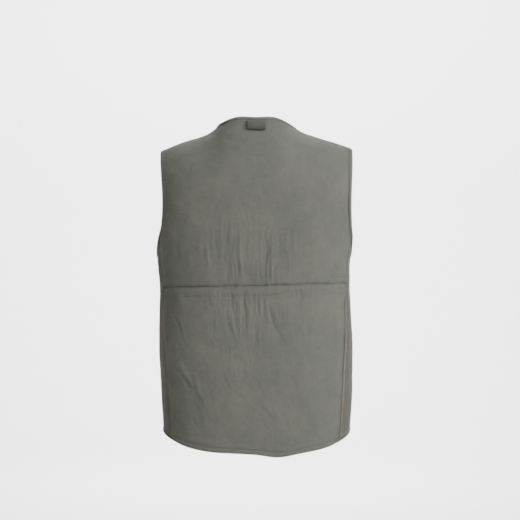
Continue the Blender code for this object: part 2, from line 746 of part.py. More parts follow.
def lower_back():
    """The lower back: its top edge is lapped under the upper back, and the casing puffs out below."""
    cloth = Cloth()
    last = BACK_LAST

    def seam_level(angle):
        return waist_z(skin(angle, drop_at(angle, WAIST_Z)).x)

    for j, row in enumerate(LOWER_HEAD):
        def level(angle):
            return drop_at(angle, seam_level(angle) - row.below_seam)

        def shaped(x, z):
            folds = UPPER_BACK_FOLDS if row.below_seam <= 0 else LOWER_BACK_FOLDS
            return fold_relief(folds, x, z)

        back_row(cloth, j, level, WALL, shaped)
        for i in range(-last, last + 1):
            for points in (cloth.outer, cloth.inner):
                points[(i, j)] += cloth.normal[(i, j)] * row.out

    start_below = LOWER_HEAD[-1].below_seam
    for step in range(1, SKIRT_ROWS + 3):
        def level(angle):
            start, hem = seam_level(angle) - start_below, hem_z(angle) + HEM_DEPTH
            below = HEM_DEPTH * max(step - SKIRT_ROWS, 0) / 2
            return drop_at(angle, start + (hem - start) * min(step / SKIRT_ROWS, 1.0) - below)

        wall = HEM_WALL if step > SKIRT_ROWS else WALL
        back_row(cloth, len(LOWER_HEAD) - 1 + step, level, wall, lambda x, z: fold_relief(LOWER_BACK_FOLDS, x, z))

    bottom = len(LOWER_HEAD) + SKIRT_ROWS + 1
    quads = [((i, j + 1), (i + 1, j + 1), (i + 1, j), (i, j)) for i in range(-last, last) for j in range(bottom)]
    return Back(cloth, quads, None, last, None, None, bottom)


def neck_front_z(x):
    """Height of the neckline in front: a scoop seen from the front."""
    return NECK_FRONT_Z + (ridge_z(NECK_HALF_WIDTH) - NECK_FRONT_Z) * (x / NECK_HALF_WIDTH) ** NECK_SCOOP


def neck_front_angle(drop):
    """Angle of the front neckline at a drop."""
    angle = angle_at(NECK_HALF_WIDTH, 0.0, True)
    for _ in range(12):
        z = height(angle, drop)
        rise = max(z - NECK_FRONT_Z, 0.0) / (ridge_z(NECK_HALF_WIDTH) - NECK_FRONT_Z)
        angle = angle_at(min(NECK_HALF_WIDTH * rise ** (1 / NECK_SCOOP), NECK_HALF_WIDTH), z, True)
    return angle


def seam_rows(upper, lower, side):
    """Heights of the back's rows at its side seam, from the hem to the armhole, for the front to share."""
    edge = side * BACK_LAST
    low = [lower.cloth.outer[(edge, j)].z for j in range(len(LOWER_HEAD) - 1, lower.top_row + 1)]
    high = [upper.cloth.outer[(edge, j)].z for j in range(CHEST_ROWS + 1)]
    return sorted(low + high)


def front(side, seam_z):
    """One front in three blocks: the skirt up to the underarm, the chest up to the neck, and the strap."""
    neck = NECK_COLUMNS_FRONT
    corner = neck + len(SHOULDER_X)
    last = corner + UNDERARM_COLUMNS
    cloth = Cloth()
    corner_z = ARMHOLE_FRONT[-1].z
    corner_angle = angle_at(ARMHOLE_FRONT[-1].x, corner_z, True)
    line = len(seam_z) - 1

    def centre_angle(z):
        return angle_at(FRONT_EDGE_X, z, True)

    inset = corner_angle + degrees_of(EDGE_STEP, corner_angle, drop_at(corner_angle, corner_z))
    seam_start = seam_angle(seam_z[-1], SEAM_GAP / 2)
    start = centre_angle(corner_z)
    bases = [start + (inset - start) * i / (corner - 1) for i in range(corner)]
    bases += [corner_angle + (seam_start - corner_angle) * k / UNDERARM_COLUMNS for k in range(UNDERARM_COLUMNS + 1)]

    def skirt_angle(i, z):
        seam, centre = seam_angle(z, SEAM_GAP / 2), centre_angle(z)
        return centre + (seam - centre) * (bases[i] - bases[0]) / (bases[last] - bases[0])

    def line_z(i):
        """Height of the line above the skirt: level in front, and the armhole's edge under the arm."""
        if i > corner:
            return armhole_front_z(bases[i])
        return CHEST_LINE_Z + (corner_z - CHEST_LINE_Z) * (i / corner) ** 2

    def place(i, j, angle, drop, wall=WALL):
        point = skin(angle, drop)
        still = min(calm(i, last), min(max((i - 1) / 1.5, 0.0), 1.0))
        if j >= line and i > corner - 3:
            still = 0.0
        out = fold_relief(FRONT_FOLDS, abs(point.x), point.z) * still
        cloth.place((i, j), side * angle, drop, out, wall)

    for i in range(last + 1):
        hem = hem_z(side * skirt_angle(i, seam_z[0])) if i < last else seam_z[0]
        for j, seam_row in enumerate(seam_z[:-1]):
            share = (seam_row - seam_z[0]) / (seam_z[-1] - seam_z[0])
            z = hem + seam_row - seam_z[0] if j < 3 else hem + (line_z(i) - hem) * share
            if j == line - 1 and i < last:
                z = line_z(i) - EDGE_STEP
            angle = skirt_angle(i, z)
            place(i, j, angle, drop_at(angle, z), HEM_WALL if j < 2 else WALL)
        place(i, line, bases[i], drop_at(bases[i], line_z(i)))

    middle_angle = angle_at(reading(ARMHOLE_FRONT, FRONT_MIDDLE_Z).x, FRONT_MIDDLE_Z, True)
    neck_x = [FRONT_EDGE_X + SCOOP_WIDTH * i / neck for i in range(neck + 1)]
    neck_points = []
    for x in neck_x:
        angle = angle_at(x, neck_front_z(x), True)
        neck_points.append((angle, drop_at(angle, neck_front_z(x))))
    yoke_rows(Yoke(
        front=True, neck=neck, corner=corner, base=line, low_rows=FRONT_LOW_ROWS, high_rows=FRONT_HIGH_ROWS,
        bases=[(bases[i], drop_at(bases[i], line_z(i))) for i in range(corner + 1)],
        neck_points=neck_points, middle=(middle_angle, drop_at(middle_angle, FRONT_MIDDLE_Z)),
        neck_edge=neck_front_angle,
        tops=[angle_at(x, ridge_z(x), True) for x in (NECK_HALF_WIDTH,) + SHOULDER_X],
    ), place)

    neck_row = line + FRONT_LOW_ROWS
    top_row = neck_row + FRONT_HIGH_ROWS
    pull_back_from_ridge(cloth, [(i, top_row) for i in range(neck, corner + 1)], -1)
    quads = []
    for j in range(top_row):
        first = 0 if j < neck_row else neck
        for i in range(first, last if j < line else corner):
            quads.append(((i, j), (i + 1, j), (i + 1, j + 1), (i, j + 1)))
    return Front(cloth, quads, neck, corner, last, line, neck_row, top_row)


# Strips made from the panels' points

Station = namedtuple("Station", "edge inset edge_out inset_out edge_in inset_in edge_normal inset_normal")
BAND_LEGS = "IIEEEIIEE"
BAND_END = ((0, 1, 2, 8), (8, 2, 3), (8, 3, 7), (3, 4, 7), (7, 4, 5, 6))


def station(cloth, edge, inset, slid_to=None):
    """Edge of a panel and the line next to it; the edge's point can be slid towards a neighbour."""
    outer, inner = cloth.outer[edge], cloth.inner[edge]
    if slid_to:
        outer = outer.lerp(cloth.outer[slid_to], CORNER_SLIDE)
        inner = inner.lerp(cloth.inner[slid_to], CORNER_SLIDE)
    return Station(edge, inset, outer, cloth.outer[inset], inner, cloth.inner[inset],
                   cloth.normal[edge], cloth.normal[inset])


def corner_stations(cloth, edge, before, after, insets):
    """Fan of three stations round an inner corner of a panel's border."""
    return [
        station(cloth, edge, insets[0], before),
        station(cloth, edge, insets[1]),
        station(cloth, edge, insets[2], after),
    ]


def between(one, two, split):
    """Station midway between those of two panels that meet at a seam."""
    places = [a.lerp(b, 0.5) for a, b in zip(one[2:], two[2:])]
    return Station(split, None, *places)


def band_ring(stop):
    """Section of a band folded over a cloth edge: both legs, and the roll round the edge."""
    reach = BAND_WIDTH / (stop.edge_out - stop.inset_out).length
    leg_out = stop.edge_out.lerp(stop.inset_out, reach)
    leg_in = stop.edge_in.lerp(stop.inset_in, reach)
    away = (stop.edge_out - stop.inset_out).normalized()
    full = BAND_GAP + BAND_WALL
    return [
        leg_out + stop.inset_normal * BAND_GAP,
        leg_out + stop.inset_normal * full,
        stop.edge_out + stop.edge_normal * full + away * BAND_ROLL,
        stop.edge_out.lerp(stop.edge_in, 0.5) + away * (full + BAND_ROLL / 2),
        stop.edge_in - stop.edge_normal * full + away * BAND_ROLL,
        leg_in - stop.inset_normal * full,
        leg_in - stop.inset_normal * BAND_GAP,
        stop.edge_in - stop.edge_normal * BAND_GAP + away * BAND_GAP,
        stop.edge_out + stop.edge_normal * BAND_GAP + away * BAND_GAP,
    ]


def split_as_panel(one, two):
    """Whether the panel's cell between two stations is split from the first's edge to the second's inset."""
    for stop in (one, two):
        if stop.inset is None:
            return stop.edge
    across, along = one.edge[0] - two.inset[0], one.edge[1] - two.inset[1]
    return across * along > 0


def strip(stops, rings, legs, end_faces=()):
    """Lofts the rings, each face split along the line of the panel's cell under it; no ends if in a loop."""
    bm = bmesh.new()
    loops = [[bm.verts.new(point) for point in ring] for ring in rings]
    count = len(legs)
    runs = range(len(loops) - 1 if end_faces else len(loops))
    for n in runs:
        one, two = loops[n], loops[(n + 1) % len(loops)]
        from_edge = split_as_panel(stops[n], stops[(n + 1) % len(stops)])
        for k in range(count):
            nxt = (k + 1) % count
            face = [one[k], one[nxt], two[nxt], two[k]]
            if legs[k] != legs[nxt] and (legs[k] == "E") != from_edge:
                face = face[1:] + face[:1]
            bm.faces.new(face)
    for face in end_faces:
        bm.faces.new([loops[0][k] for k in face])
        bm.faces.new([loops[-1][k] for k in reversed(face)])
    return bm


def armhole_band(back, fore, side):
    """Down the back's edge, under the arm and up the front's edge, in a closed ring."""
    cloth, last = back.cloth, back.last
    behind = [station(cloth, (side * last, j), (side * (last - 1), j)) for j in range(back.top_row, back.base, -1)]
    panel, corner, line = fore.cloth, fore.corner, fore.line
    under = [station(panel, (k, line), (k, line - 1)) for k in range(fore.last - 1, corner, -1)]
    turn = corner_stations(panel, (corner, line), (corner + 1, line), (corner, line + 1),
                           ((corner, line - 1), (corner - 1, line - 1), (corner - 1, line)))
    ahead = [station(panel, (corner, j), (corner - 1, j)) for j in range(line + 1, fore.top_row + 1)]
    seam_end = (side * last, back.base)
    behind_seam = station(cloth, seam_end, (side * (last - 1), back.base), (side * last, back.base + 1))
    under_seam = station(panel, (fore.last, line), (fore.last, line - 1), (fore.last - 1, line))
    seam = [behind_seam, between(behind_seam, under_seam, True), under_seam]
    stops = behind[1:] + seam + under + turn + ahead[:-1]
    stops.append(between(ahead[-1], behind[0], side > 0))
    return strip(stops, [band_ring(stop) for stop in stops], BAND_LEGS)


def neck_side_stations(cloth, side, panel):
    """Stations of a panel's neckline on one side, from the neck's corner up to the shoulder seam."""
    neck, row = panel.neck, panel.neck_row

    def key(i, j):
        return (side * i, j)

    stops = corner_stations(cloth, key(neck, row), key(neck - 1, row), key(neck, row + 1),
                            (key(neck, row - 1), key(neck + 1, row - 1), key(neck + 1, row)))
    return stops + [station(cloth, key(neck, j), key(neck + 1, j)) for j in range(row + 1, panel.top_row + 1)]


def neck_band(back, fores):
    """From one side of the zip up the front, round the back of the neck and down the other side."""
    runs = []
    for side, fore in fores:
        low = [station(fore.cloth, (i, fore.neck_row), (i, fore.neck_row - 1)) for i in range(fore.neck)]
        ahead = low + neck_side_stations(fore.cloth, 1, fore)
        behind = neck_side_stations(back.cloth, side, back)
        runs.append(ahead[:-1] + [between(ahead[-1], behind[-1], side > 0)] + behind[-2::-1])
    middle = [station(back.cloth, (i, back.neck_row), (i, back.neck_row - 1)) for i in range(1 - back.neck, back.neck)]
    stops = runs[0] + middle + runs[1][::-1]
    return strip(stops, [band_ring(stop) for stop in stops], BAND_LEGS, BAND_END)


def side_welt(back, side):
    """A flat strip on the lower back along the side seam, from under the casing to the hem."""
    cloth, last, bottom = back.cloth, back.last, back.top_row
    start = next(j for j in range(bottom) if cloth.outer[(side * last, j)].z < WELT_TOP_Z + 0.004)
    stops, rings = [], []
    for j in range(start, bottom + 1):
        stop = station(cloth, (side * last, j), (side * (last - 1), j))
        near = stop.edge_out.lerp(stop.inset_out, WELT_SETBACK / EDGE_STEP)
        far = stop.edge_out.lerp(stop.inset_out, (WELT_SETBACK + WELT_WIDTH) / EDGE_STEP)
        rings.append([
            near + stop.edge_normal * SEAM_GAP,
            far + stop.inset_normal * SEAM_GAP,
            far + stop.inset_normal * (SEAM_GAP + WELT_WALL),
            near + stop.edge_normal * (SEAM_GAP + WELT_WALL),
        ])
        stops.append(stop._replace(edge=(side * last, -j), inset=(side * (last - 1), -j)))
    return strip(stops, rings, "EIIE", ((0, 1, 2, 3),))


# Small parts

Frame = namedtuple("Frame", "origin up out")


def frame_at(angle, drop):
    """Directions up and out at a place on the skin."""
    step = 0.02
    up = (skin(angle, drop - step) - skin(angle, drop + step)).normalized()
    out = skin_normal(angle, drop)
    return Frame(skin(angle, drop), up, (out - up * out.dot(up)).normalized())


def hanger_loop():
    """A folded strap sewn on under the neck band, standing off the back."""
    outside, inside = [], []
    middle = (LOOP_SECTION[0].down + LOOP_SECTION[3].down) / 2
    for x in LOOP_X:
        drop = neck_back_drop(abs(x))
        angle = math.copysign(angle_at(abs(x), neck_back_z(abs(x))), x)
        out = frame_at(angle, drop + drop_of(middle, angle, drop)).out

        def point(down, stand_off):
            return skin(angle, drop + drop_of(down, angle, drop)) + out * stand_off

        outside.append([point(row.down, row.out) for row in LOOP_SECTION])
        inside.append([point(row.inner_down, row.inner_out) for row in LOOP_SECTION])
    return tube(outside, inside)


def centre_frame(z):
    return frame_at(180.0, drop_at(180.0, z))


def zip_heights(fore, low, high):
    """Heights for the rows of a long zip part: those of the front's edge, between two ends."""
    rows = [fore.cloth.outer[(0, j)].z for j in range(fore.neck_row + 1)]
    return [low] + [z for z in rows if low + 0.002 < z < high - 0.002] + [high]


def edge_place(fore, z, x):
    """Inner face of the front beside its zip edge at a height and a distance from the centre line."""
    cloth = fore.cloth
    j = next(n for n in range(fore.neck_row) if cloth.inner[(0, n + 1)].z >= z)
    low, high = cloth.inner[(0, j)], cloth.inner[(0, j + 1)]
    share = (z - low.z) / (high.z - low.z)
    edge = low.lerp(high, share)
    aside = cloth.inner[(1, j)].lerp(cloth.inner[(1, j + 1)], share)
    normal = cloth.normal[(0, j)].lerp(cloth.normal[(0, j + 1)], share)
    return edge.lerp(aside, (x - abs(edge.x)) / abs(aside.x - edge.x)), normal


def zip_tape(fore, low, high):
    """A tape behind the front's edge."""
    rings = []
    for z in zip_heights(fore, low, high):
        ring = []
        for x, depth in ((TAPE_INNER_X, 0.0), (TAPE_OUTER_X, 0.0), (TAPE_OUTER_X, TAPE_WALL), (TAPE_INNER_X, TAPE_WALL)):
            place, normal = edge_place(fore, z, x)
            ring.append(place - normal * (SMALL_GAP + depth))
        rings.append(ring)
    return loft(rings)


def zip_chain(fore, low, high):
    """The closed teeth as one bar along the centre line."""
    rings = []
    for z in zip_heights(fore, low, high):
        frame = centre_frame(z)
        ring = []
        for x, depth in ((-1, 0.0), (1, 0.0), (1, CHAIN_WALL), (-1, CHAIN_WALL)):
            aside = Vector((x * CHAIN_HALF_WIDTH, 0, 0))
            ring.append(frame.origin + aside - frame.out * (CHAIN_FRONT_DEPTH + depth))
        rings.append(ring)
    return loft(rings)


def slider_blocks():
    """Two plates over the teeth, the wedge that joins them above, and the bail for the pull."""
    front_in = SMALL_GAP - CHAIN_FRONT_DEPTH
    back_out = -CHAIN_FRONT_DEPTH - CHAIN_WALL - SMALL_GAP
    half, ends = PLATE_HALF_WIDTH, (-SLIDER_BELOW, SLIDER_ABOVE)
    face = front_in + PLATE_WALL
    blocks = [
        Block(-half, half, *ends, front_in, face),
        Block(-half, half, *ends, back_out - PLATE_WALL, back_out),
        Block(-WEDGE_HALF_WIDTH, WEDGE_HALF_WIDTH, SMALL_GAP, SLIDER_ABOVE, back_out, front_in),
        Block(-BAIL_HALF_WIDTH, BAIL_HALF_WIDTH, PIVOT_UP - BAIL_OUTER, PIVOT_UP + BAIL_OUTER,
              face + BAIL_CLEAR_HEIGHT, face + BAIL_HEIGHT),
    ]
    for low, high in ((-BAIL_OUTER, -BAIL_INNER), (BAIL_INNER, BAIL_OUTER)):
        blocks.append(Block(-BAIL_HALF_WIDTH, BAIL_HALF_WIDTH, PIVOT_UP + low, PIVOT_UP + high,
                            face, face + BAIL_CLEAR_HEIGHT))
    return blocks


def pull_blocks():
    """The pull hanging along the plate: a bar through the bail, two rails and the tab."""
    face = SMALL_GAP - CHAIN_FRONT_DEPTH + PLATE_WALL
    thick = (face + PIVOT_OUT - PULL_HALF_WALL, face + PIVOT_OUT + PULL_HALF_WALL)
    wide, hole = PULL_HALF_WIDTH, PULL_HOLE_HALF_WIDTH
    bar, end = PIVOT_UP - PULL_HALF_WALL, PIVOT_UP - PULL_HOLE_END
    return [
        Block(-wide, wide, bar, PIVOT_UP + PULL_HALF_WALL, *thick),
        Block(-wide, -hole, end, bar, *thick),
        Block(hole, wide, end, bar, *thick),
        Block(-wide, wide, PIVOT_UP - PULL_LENGTH, end, *thick),
    ]


def box_blocks():
    """The box at the foot of the zip."""
    middle = -CHAIN_FRONT_DEPTH - CHAIN_WALL / 2
    return [Block(-BOX_HALF_WIDTH, BOX_HALF_WIDTH, 0.0, BOX_HEIGHT, middle - BOX_WALL / 2, middle + BOX_WALL / 2)]


def main():
    for old in list(bpy.data.objects):
        bpy.data.objects.remove(old)
    collection = bpy.data.collections.new("hunting_vest")
    bpy.context.scene.collection.children.link(collection)

    upper = upper_back()
    lower = lower_back()
    fronts = {name: (side, front(side, seam_rows(upper, lower, side))) for name, side in (("right", -1), ("left", 1))}
    hem = max(fore.cloth.outer[(0, 0)].z for _, fore in fronts.values()) + TAPE_END_ABOVE_HEM
    tape_top = NECK_FRONT_Z - TAPE_TOP_BELOW_NECK
    add_object("back_upper", upper.cloth.wall_mesh(upper.quads), collection, (CLOTH, 0.9))
    add_object("back_lower", lower.cloth.wall_mesh(lower.quads), collection, (CLOTH, 0.9))
    for name, (side, fore) in fronts.items():
        add_object("front_" + name, fore.cloth.wall_mesh(fore.quads), collection, (CLOTH, 0.9))
        add_object("armhole_band_" + name, armhole_band(upper, fore, side), collection, (BAND, 0.9))
        add_object("side_welt_" + name, side_welt(lower, side), collection, (WELT, 0.85))
        add_object("zip_tape_" + name, zip_tape(fore, hem, tape_top), collection, (TAPE, 0.85))
    add_object("neck_band", neck_band(upper, fronts.values()), collection, (BAND, 0.9))
    add_object("hanger_loop", hanger_loop(), collection, (BAND, 0.9))

    chain_top = NECK_FRONT_Z - CHAIN_TOP_BELOW_NECK
    chain = zip_chain(fronts["left"][1], hem + BOX_HEIGHT + SMALL_GAP, chain_top)
    add_object("zip_chain", chain, collection, (METAL, 0.45, 0.8))
    add_object("zip_box", block_mesh(centre_frame(hem), box_blocks()), collection, (METAL, 0.4, 0.9))
    middle = (SLIDER_ABOVE - SLIDER_BELOW) / 2
    slider_frame = centre_frame(chain_top + middle)
    slider_frame = slider_frame._replace(origin=slider_frame.origin - slider_frame.up * middle)
    add_object("zip_slider", block_mesh(slider_frame, slider_blocks()), collection, (METAL, 0.35, 0.9))
    add_object("zip_pull", block_mesh(slider_frame, pull_blocks()), collection, (METAL, 0.35, 0.9))


main()
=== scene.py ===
"""Looks of the sleeveless vest: brushed cotton shells on the CAD's form, edge bands, stitching and zip.

Metres, in the CAD's frame: +Z up, the back faces +Y and the wearer's left is +X.
"""

import math
from collections import namedtuple

import bmesh
import bpy
import numpy as np
from mathutils import Matrix, Vector, noise
from mathutils.bvhtree import BVHTree
from mathutils.kdtree import KDTree


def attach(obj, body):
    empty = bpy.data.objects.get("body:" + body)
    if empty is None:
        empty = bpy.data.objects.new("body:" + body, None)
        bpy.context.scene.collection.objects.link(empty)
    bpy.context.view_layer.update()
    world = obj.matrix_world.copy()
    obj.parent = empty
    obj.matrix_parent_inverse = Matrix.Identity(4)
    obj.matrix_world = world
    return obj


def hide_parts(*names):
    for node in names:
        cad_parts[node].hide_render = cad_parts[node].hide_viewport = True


bl_info = {
    "name": "Hunting vest",
    "version": (1, 0, 0),
    "blender": (4, 5, 0),
    "location": "3D View > Sidebar > Vest",
    "description": "Dresses the vest's CAD frame in cloth, stitching and zip parts",
    "category": "Object",
}

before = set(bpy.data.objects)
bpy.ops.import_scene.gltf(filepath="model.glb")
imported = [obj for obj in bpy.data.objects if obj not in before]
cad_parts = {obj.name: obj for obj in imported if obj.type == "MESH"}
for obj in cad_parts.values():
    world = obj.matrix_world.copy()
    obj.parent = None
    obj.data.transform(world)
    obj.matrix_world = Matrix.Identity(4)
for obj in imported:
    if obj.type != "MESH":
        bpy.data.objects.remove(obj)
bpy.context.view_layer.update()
BODY = "vest"
PULL_BODY = "pull"

# Making of the shells
MERGE = 0.00002
RIM_ANGLE = math.radians(50)
JOIN_ANGLE = math.radians(40)
SHAPE_ANGLE = math.radians(60)
ARMHOLE_FOOT_Z = -0.265
BODY_TURN_RADIUS = 0.21
SHOULDER_START_Z = -0.16
SHOULDER_BLEND = 0.08
CALM_FROM_EDGE = 0.010
CALM_FROM_SEAM = 0.005
# Fold height at which a crease's painted shade or painted highlight is full, the painted shade at the panels'
# open edges and its reach, and the paler wear rubbed into the hem.
FOLD_SHADE_DEPTH = 0.003
EDGE_SHADE = 0.9
EDGE_SHADE_REACH = 0.004
HEM_RUB = 0.5


def records(kind, rows, shares=0):
    """Records from whole numbers: tenths of a millimetre, then hundredths in the last few fields."""
    lengths = len(kind._fields) - shares
    return tuple(kind(*(value / 10000 for value in row[:lengths]), *(value / 100 for value in row[lengths:]))
                 for row in rows)


# Creases: a bent line on one side of the vest, how far it spreads, how far it stands out (or sinks
# in, when negative), where along it it is strongest, and which flank is steeper. Unless given, it is
# strongest halfway and both flanks are alike.
Crease = namedtuple("Crease", "x_top z_top x_mid z_mid x_bottom z_bottom spread height deepest lean",
                    defaults=(0.5, 0.0))
CREASE_STEPS = 12
CREASE_SWAY = 0.3
CREASE_RIM = 0.22
UPPER_CREASES = records(Crease, (
    (1802, -2197, 1813, -2612, 1889, -3028, 61, 17),
    (1714, -2415, 1747, -2853, 1802, -3291, 66, -20, 60),
    (1616, -2700, 1616, -2897, 1627, -3094, 44, 9, 60),
    (1539, -2612, 1539, -2919, 1517, -3203, 50, -9),
    (1430, -2831, 1430, -3028, 1452, -3225, 48, 6),
    (1299, -2481, 1320, -2787, 1342, -3138, 57, -7),
    (1167, -2700, 1156, -2984, 1167, -3247, 44, -13),
    (1102, -2481, 1069, -3006, 1080, -3575, 53, 18, 45),
    (981, -2131, 970, -2569, 992, -3050, 48, 11),
    (883, -2481, 861, -2853, 883, -3247, 59, -17),
    (752, -2000, 752, -2678, 730, -3378, 53, 15, 45),
    (642, -2000, 631, -2459, 642, -2941, 53, -15),
    (631, -3028, 631, -3313, 642, -3619, 48, -17, 60),
    (533, -1956, 544, -2328, 555, -2722, 44, 8), (533, -2831, 533, -3225, 522, -3575, 44, 16, 60, 0),
    (445, -2218, 423, -2875, 401, -3510, 53, -25, 70, 20),
    (380, -2306, 336, -2941, 314, -3575, 50, 22, 55, -20),
    (226, -2262, 226, -2809, 117, -3334, 50, -17),
    (292, -1781, 183, -2087, 117, -2415, 44, 9), (358, -1715, 248, -2000, 161, -2284, 44, -7),
    (73, -2569, 51, -3028, 95, -3510, 53, 9), (-14, -2809, -25, -3225, -14, -3619, 39, 15, 60, 0),
    (-80, -2656, -102, -2831, -124, -3028, 53, 13),
    (-58, -2941, -69, -3269, -113, -3619, 44, -20, 60),
    (-255, -2262, -200, -2437, -146, -2634, 44, -22, 60),
    (-146, -2503, -222, -2678, -255, -2897, 42, -24, 60),
    (-266, -2722, -233, -2941, -168, -3203, 42, -24, 40),
    (-178, -2722, -178, -2919, -146, -3116, 35, 13, 40),
    (-244, -2962, -244, -3269, -233, -3597, 42, 21),
    (-386, -2218, -354, -2590, -321, -2984, 42, 16),
    (-321, -2853, -343, -3225, -321, -3597, 37, 16),
    (-496, -2306, -496, -2700, -605, -3138, 57, -20, 45),
    (-408, -2984, -408, -3291, -397, -3641, 44, -22, 70),
    (-605, -2372, -671, -2766, -715, -3203, 57, 16, 40),
    (-736, -2284, -769, -2634, -758, -2984, 48, -17, 40),
    (-824, -2437, -846, -2744, -824, -3116, 48, 9, 40),
    (-901, -2481, -912, -2787, -890, -3094, 44, -7),
    (161, -1912, 161, -2153, 150, -2415, 39, 10), (73, -1825, 73, -2087, 62, -2372, 44, -8),
    (-430, -2328, -627, -2361, -868, -2481, 39, -17, 70, 30),
    (-452, -2262, -649, -2284, -890, -2372, 42, 11, 60),
    (-1065, -2612, -1087, -3006, -1043, -3400, 57, 7),
    (-1218, -2744, -1240, -3094, -1240, -3466, 57, -8),
    (-1415, -2612, -1480, -2831, -1524, -3094, 53, -7),
    (-1655, -2875, -1634, -3181, -1655, -3466, 61, 6),
    (-168, -1081, -124, -1431, -189, -1846, 98, -7),
    (970, -1299, 905, -1650, 992, -2043, 98, 7),
    (1320, -1431, 1386, -1781, 1320, -2175, 98, -8),
    (-1087, -1212, -1152, -1606, -1065, -2000, 98, 6),
    (-1502, -1518, -1437, -1868, -1524, -2306, 98, -6),
    (-496, -1518, -540, -1825, -452, -2153, 79, 6),
    (1714, -1650, 1671, -1868, 1714, -2131, 88, 7), (576, -818, 95, -752, -430, -818, 98, -6),
    (445, -380, 292, -468, 95, -490, 66, -6), (-211, -468, -386, -402, -561, -293, 66, -7),
    (1627, -818, 1452, -949, 1233, -1037, 88, -6),
    (-1655, -818, -1480, -971, -1262, -1081, 88, -6),
), shares=2)
LOWER_CREASES = records(Crease, (
    (1714, -3685, 1714, -3925, 1736, -4210, 50, 13, 30),
    (1594, -3663, 1594, -3903, 1572, -4210, 55, -16, 30),
    (1452, -3685, 1452, -3882, 1430, -4100, 48, 8, 30),
    (1320, -3685, 1320, -3925, 1342, -4188, 48, -8, 30),
    (1124, -3685, 1113, -3925, 1124, -4232, 48, 13, 30),
    (1036, -3706, 1025, -4013, 1014, -4363, 44, -9, 30),
    (927, -3663, 916, -3969, 905, -4319, 48, 14, 30),
    (784, -3663, 773, -3947, 762, -4275, 48, -19, 35),
    (686, -3685, 675, -3860, 686, -4100, 39, 12, 30),
    (576, -3641, 533, -3991, 456, -4472, 44, -24, 35, 20),
    (1933, -3991, 1780, -4407, 1561, -4997, 53, -19, 50, 20),
    (1758, -4144, 1649, -4538, 1495, -4997, 55, 12),
    (664, -3925, 598, -4472, 380, -5129, 46, -21, 50, 20),
    (752, -4144, 686, -4582, 533, -5085, 48, 11),
    (576, -4013, 511, -4450, 358, -4997, 44, 16),
    (445, -3663, 423, -3925, 390, -4319, 42, 13, 40),
    (347, -3663, 358, -4275, 314, -4997, 46, 18, 40),
    (259, -3663, 248, -4188, 194, -4976, 53, -31, 45, 15),
    (139, -3706, 128, -4100, 117, -4625, 48, 17, 40), (51, -3706, 51, -3991, 40, -4341, 39, -8, 40),
    (-36, -3685, -36, -4013, -25, -4341, 44, -22, 60),
    (-91, -3838, -102, -4100, -124, -4429, 37, 12),
    (-135, -3663, -157, -4057, -233, -4560, 42, -21),
    (-211, -3794, -255, -4144, -321, -4472, 42, 14),
    (-266, -3947, -364, -4385, -649, -4932, 50, -30, 50, 25),
    (-343, -3925, -474, -4363, -693, -4779, 55, 16),
    (-868, -3619, -868, -3750, -868, -3947, 35, -15, 30),
    (-966, -3619, -977, -4013, -1010, -4582, 42, -18, 30),
    (-1087, -3663, -1098, -3969, -1130, -4407, 50, 9, 30),
    (-1305, -3641, -1316, -3838, -1305, -4144, 53, -8, 30),
    (-1524, -3641, -1524, -3882, -1568, -4275, 57, 7, 30),
    (-14, -4275, 29, -4713, 73, -5238, 53, -16),
    (-102, -4363, -80, -4757, -36, -5194, 50, 11),
    (642, -4801, 609, -5151, 631, -5566, 53, -16),
    (752, -4713, 752, -5063, 773, -5457, 50, 9),
    (183, -5019, 270, -5501, 358, -6004, 70, -19),
    (445, -5019, 445, -5413, 489, -5807, 55, 12),
    (401, -5085, 292, -5282, 183, -5457, 42, -13),
    (73, -5107, 117, -5369, 183, -5654, 44, 10),
    (1714, -5173, 1605, -5501, 1386, -5851, 79, 25, 40, -30),
    (1736, -5479, 1583, -5720, 1364, -5938, 66, -26, 60, 30),
    (1408, -5501, 1277, -5851, 1102, -6332, 74, 20),
    (1102, -5720, 1014, -6048, 927, -6464, 79, -10),
    (1124, -4987, 948, -4997, 686, -4954, 48, -12),
    (1320, -5151, 1124, -5173, 817, -5249, 42, -8),
    (1014, -4516, 970, -4801, 861, -5041, 53, 10),
    (948, -4232, 927, -4494, 970, -4779, 53, -11, 40),
    (1167, -4188, 1102, -4494, 992, -4779, 50, 10, 40),
    (752, -5479, 664, -5720, 533, -5982, 50, -11),
    (576, -5873, 401, -6004, 161, -6103, 50, -13),
    (664, -6146, 467, -6223, 226, -6321, 50, -13),
    (204, -6135, -124, -6289, -518, -6726, 59, -16, 60, 20),
    (226, -5960, -124, -6092, -452, -6354, 66, 10),
    (-124, -6442, -233, -6617, -386, -6836, 53, 11),
    (-561, -6376, -649, -6595, -780, -6857, 59, -9),
    (29, -5588, -80, -5851, -211, -6157, 59, -11),
    (-255, -5545, -321, -5851, -430, -6201, 70, 10),
    (380, -6529, 226, -6704, 29, -6836, 50, -8),
    (1605, -6376, 1539, -6551, 1452, -6792, 53, -11),
    (1846, -6857, 1495, -6945, 1014, -6967, 46, -9),
    (1583, -7043, 1233, -7120, 839, -7142, 42, -9),
    (752, -6989, 358, -7054, -124, -7011, 53, -6),
    (-299, -7076, -736, -7120, -1218, -6989, 53, -7),
    (-955, -4538, -1087, -5019, -1240, -5720, 92, -8),
    (-1349, -4363, -1437, -4910, -1524, -5545, 92, 8),
    (-1087, -4932, -1393, -5019, -1743, -4888, 53, -7),
    (-1765, -3882, -1721, -4582, -1787, -5413, 70, -11),
    (-627, -5194, -780, -5588, -933, -6070, 79, -9),
    (-1087, -6026, -1218, -6332, -1437, -6639, 88, 8),
    (-1524, -5807, -1568, -6113, -1502, -6507, 88, -8),
    (1320, -6113, 1277, -6442, 1124, -6770, 74, -8),
    (883, -6201, 817, -6507, 861, -6857, 74, 7),
), shares=2)
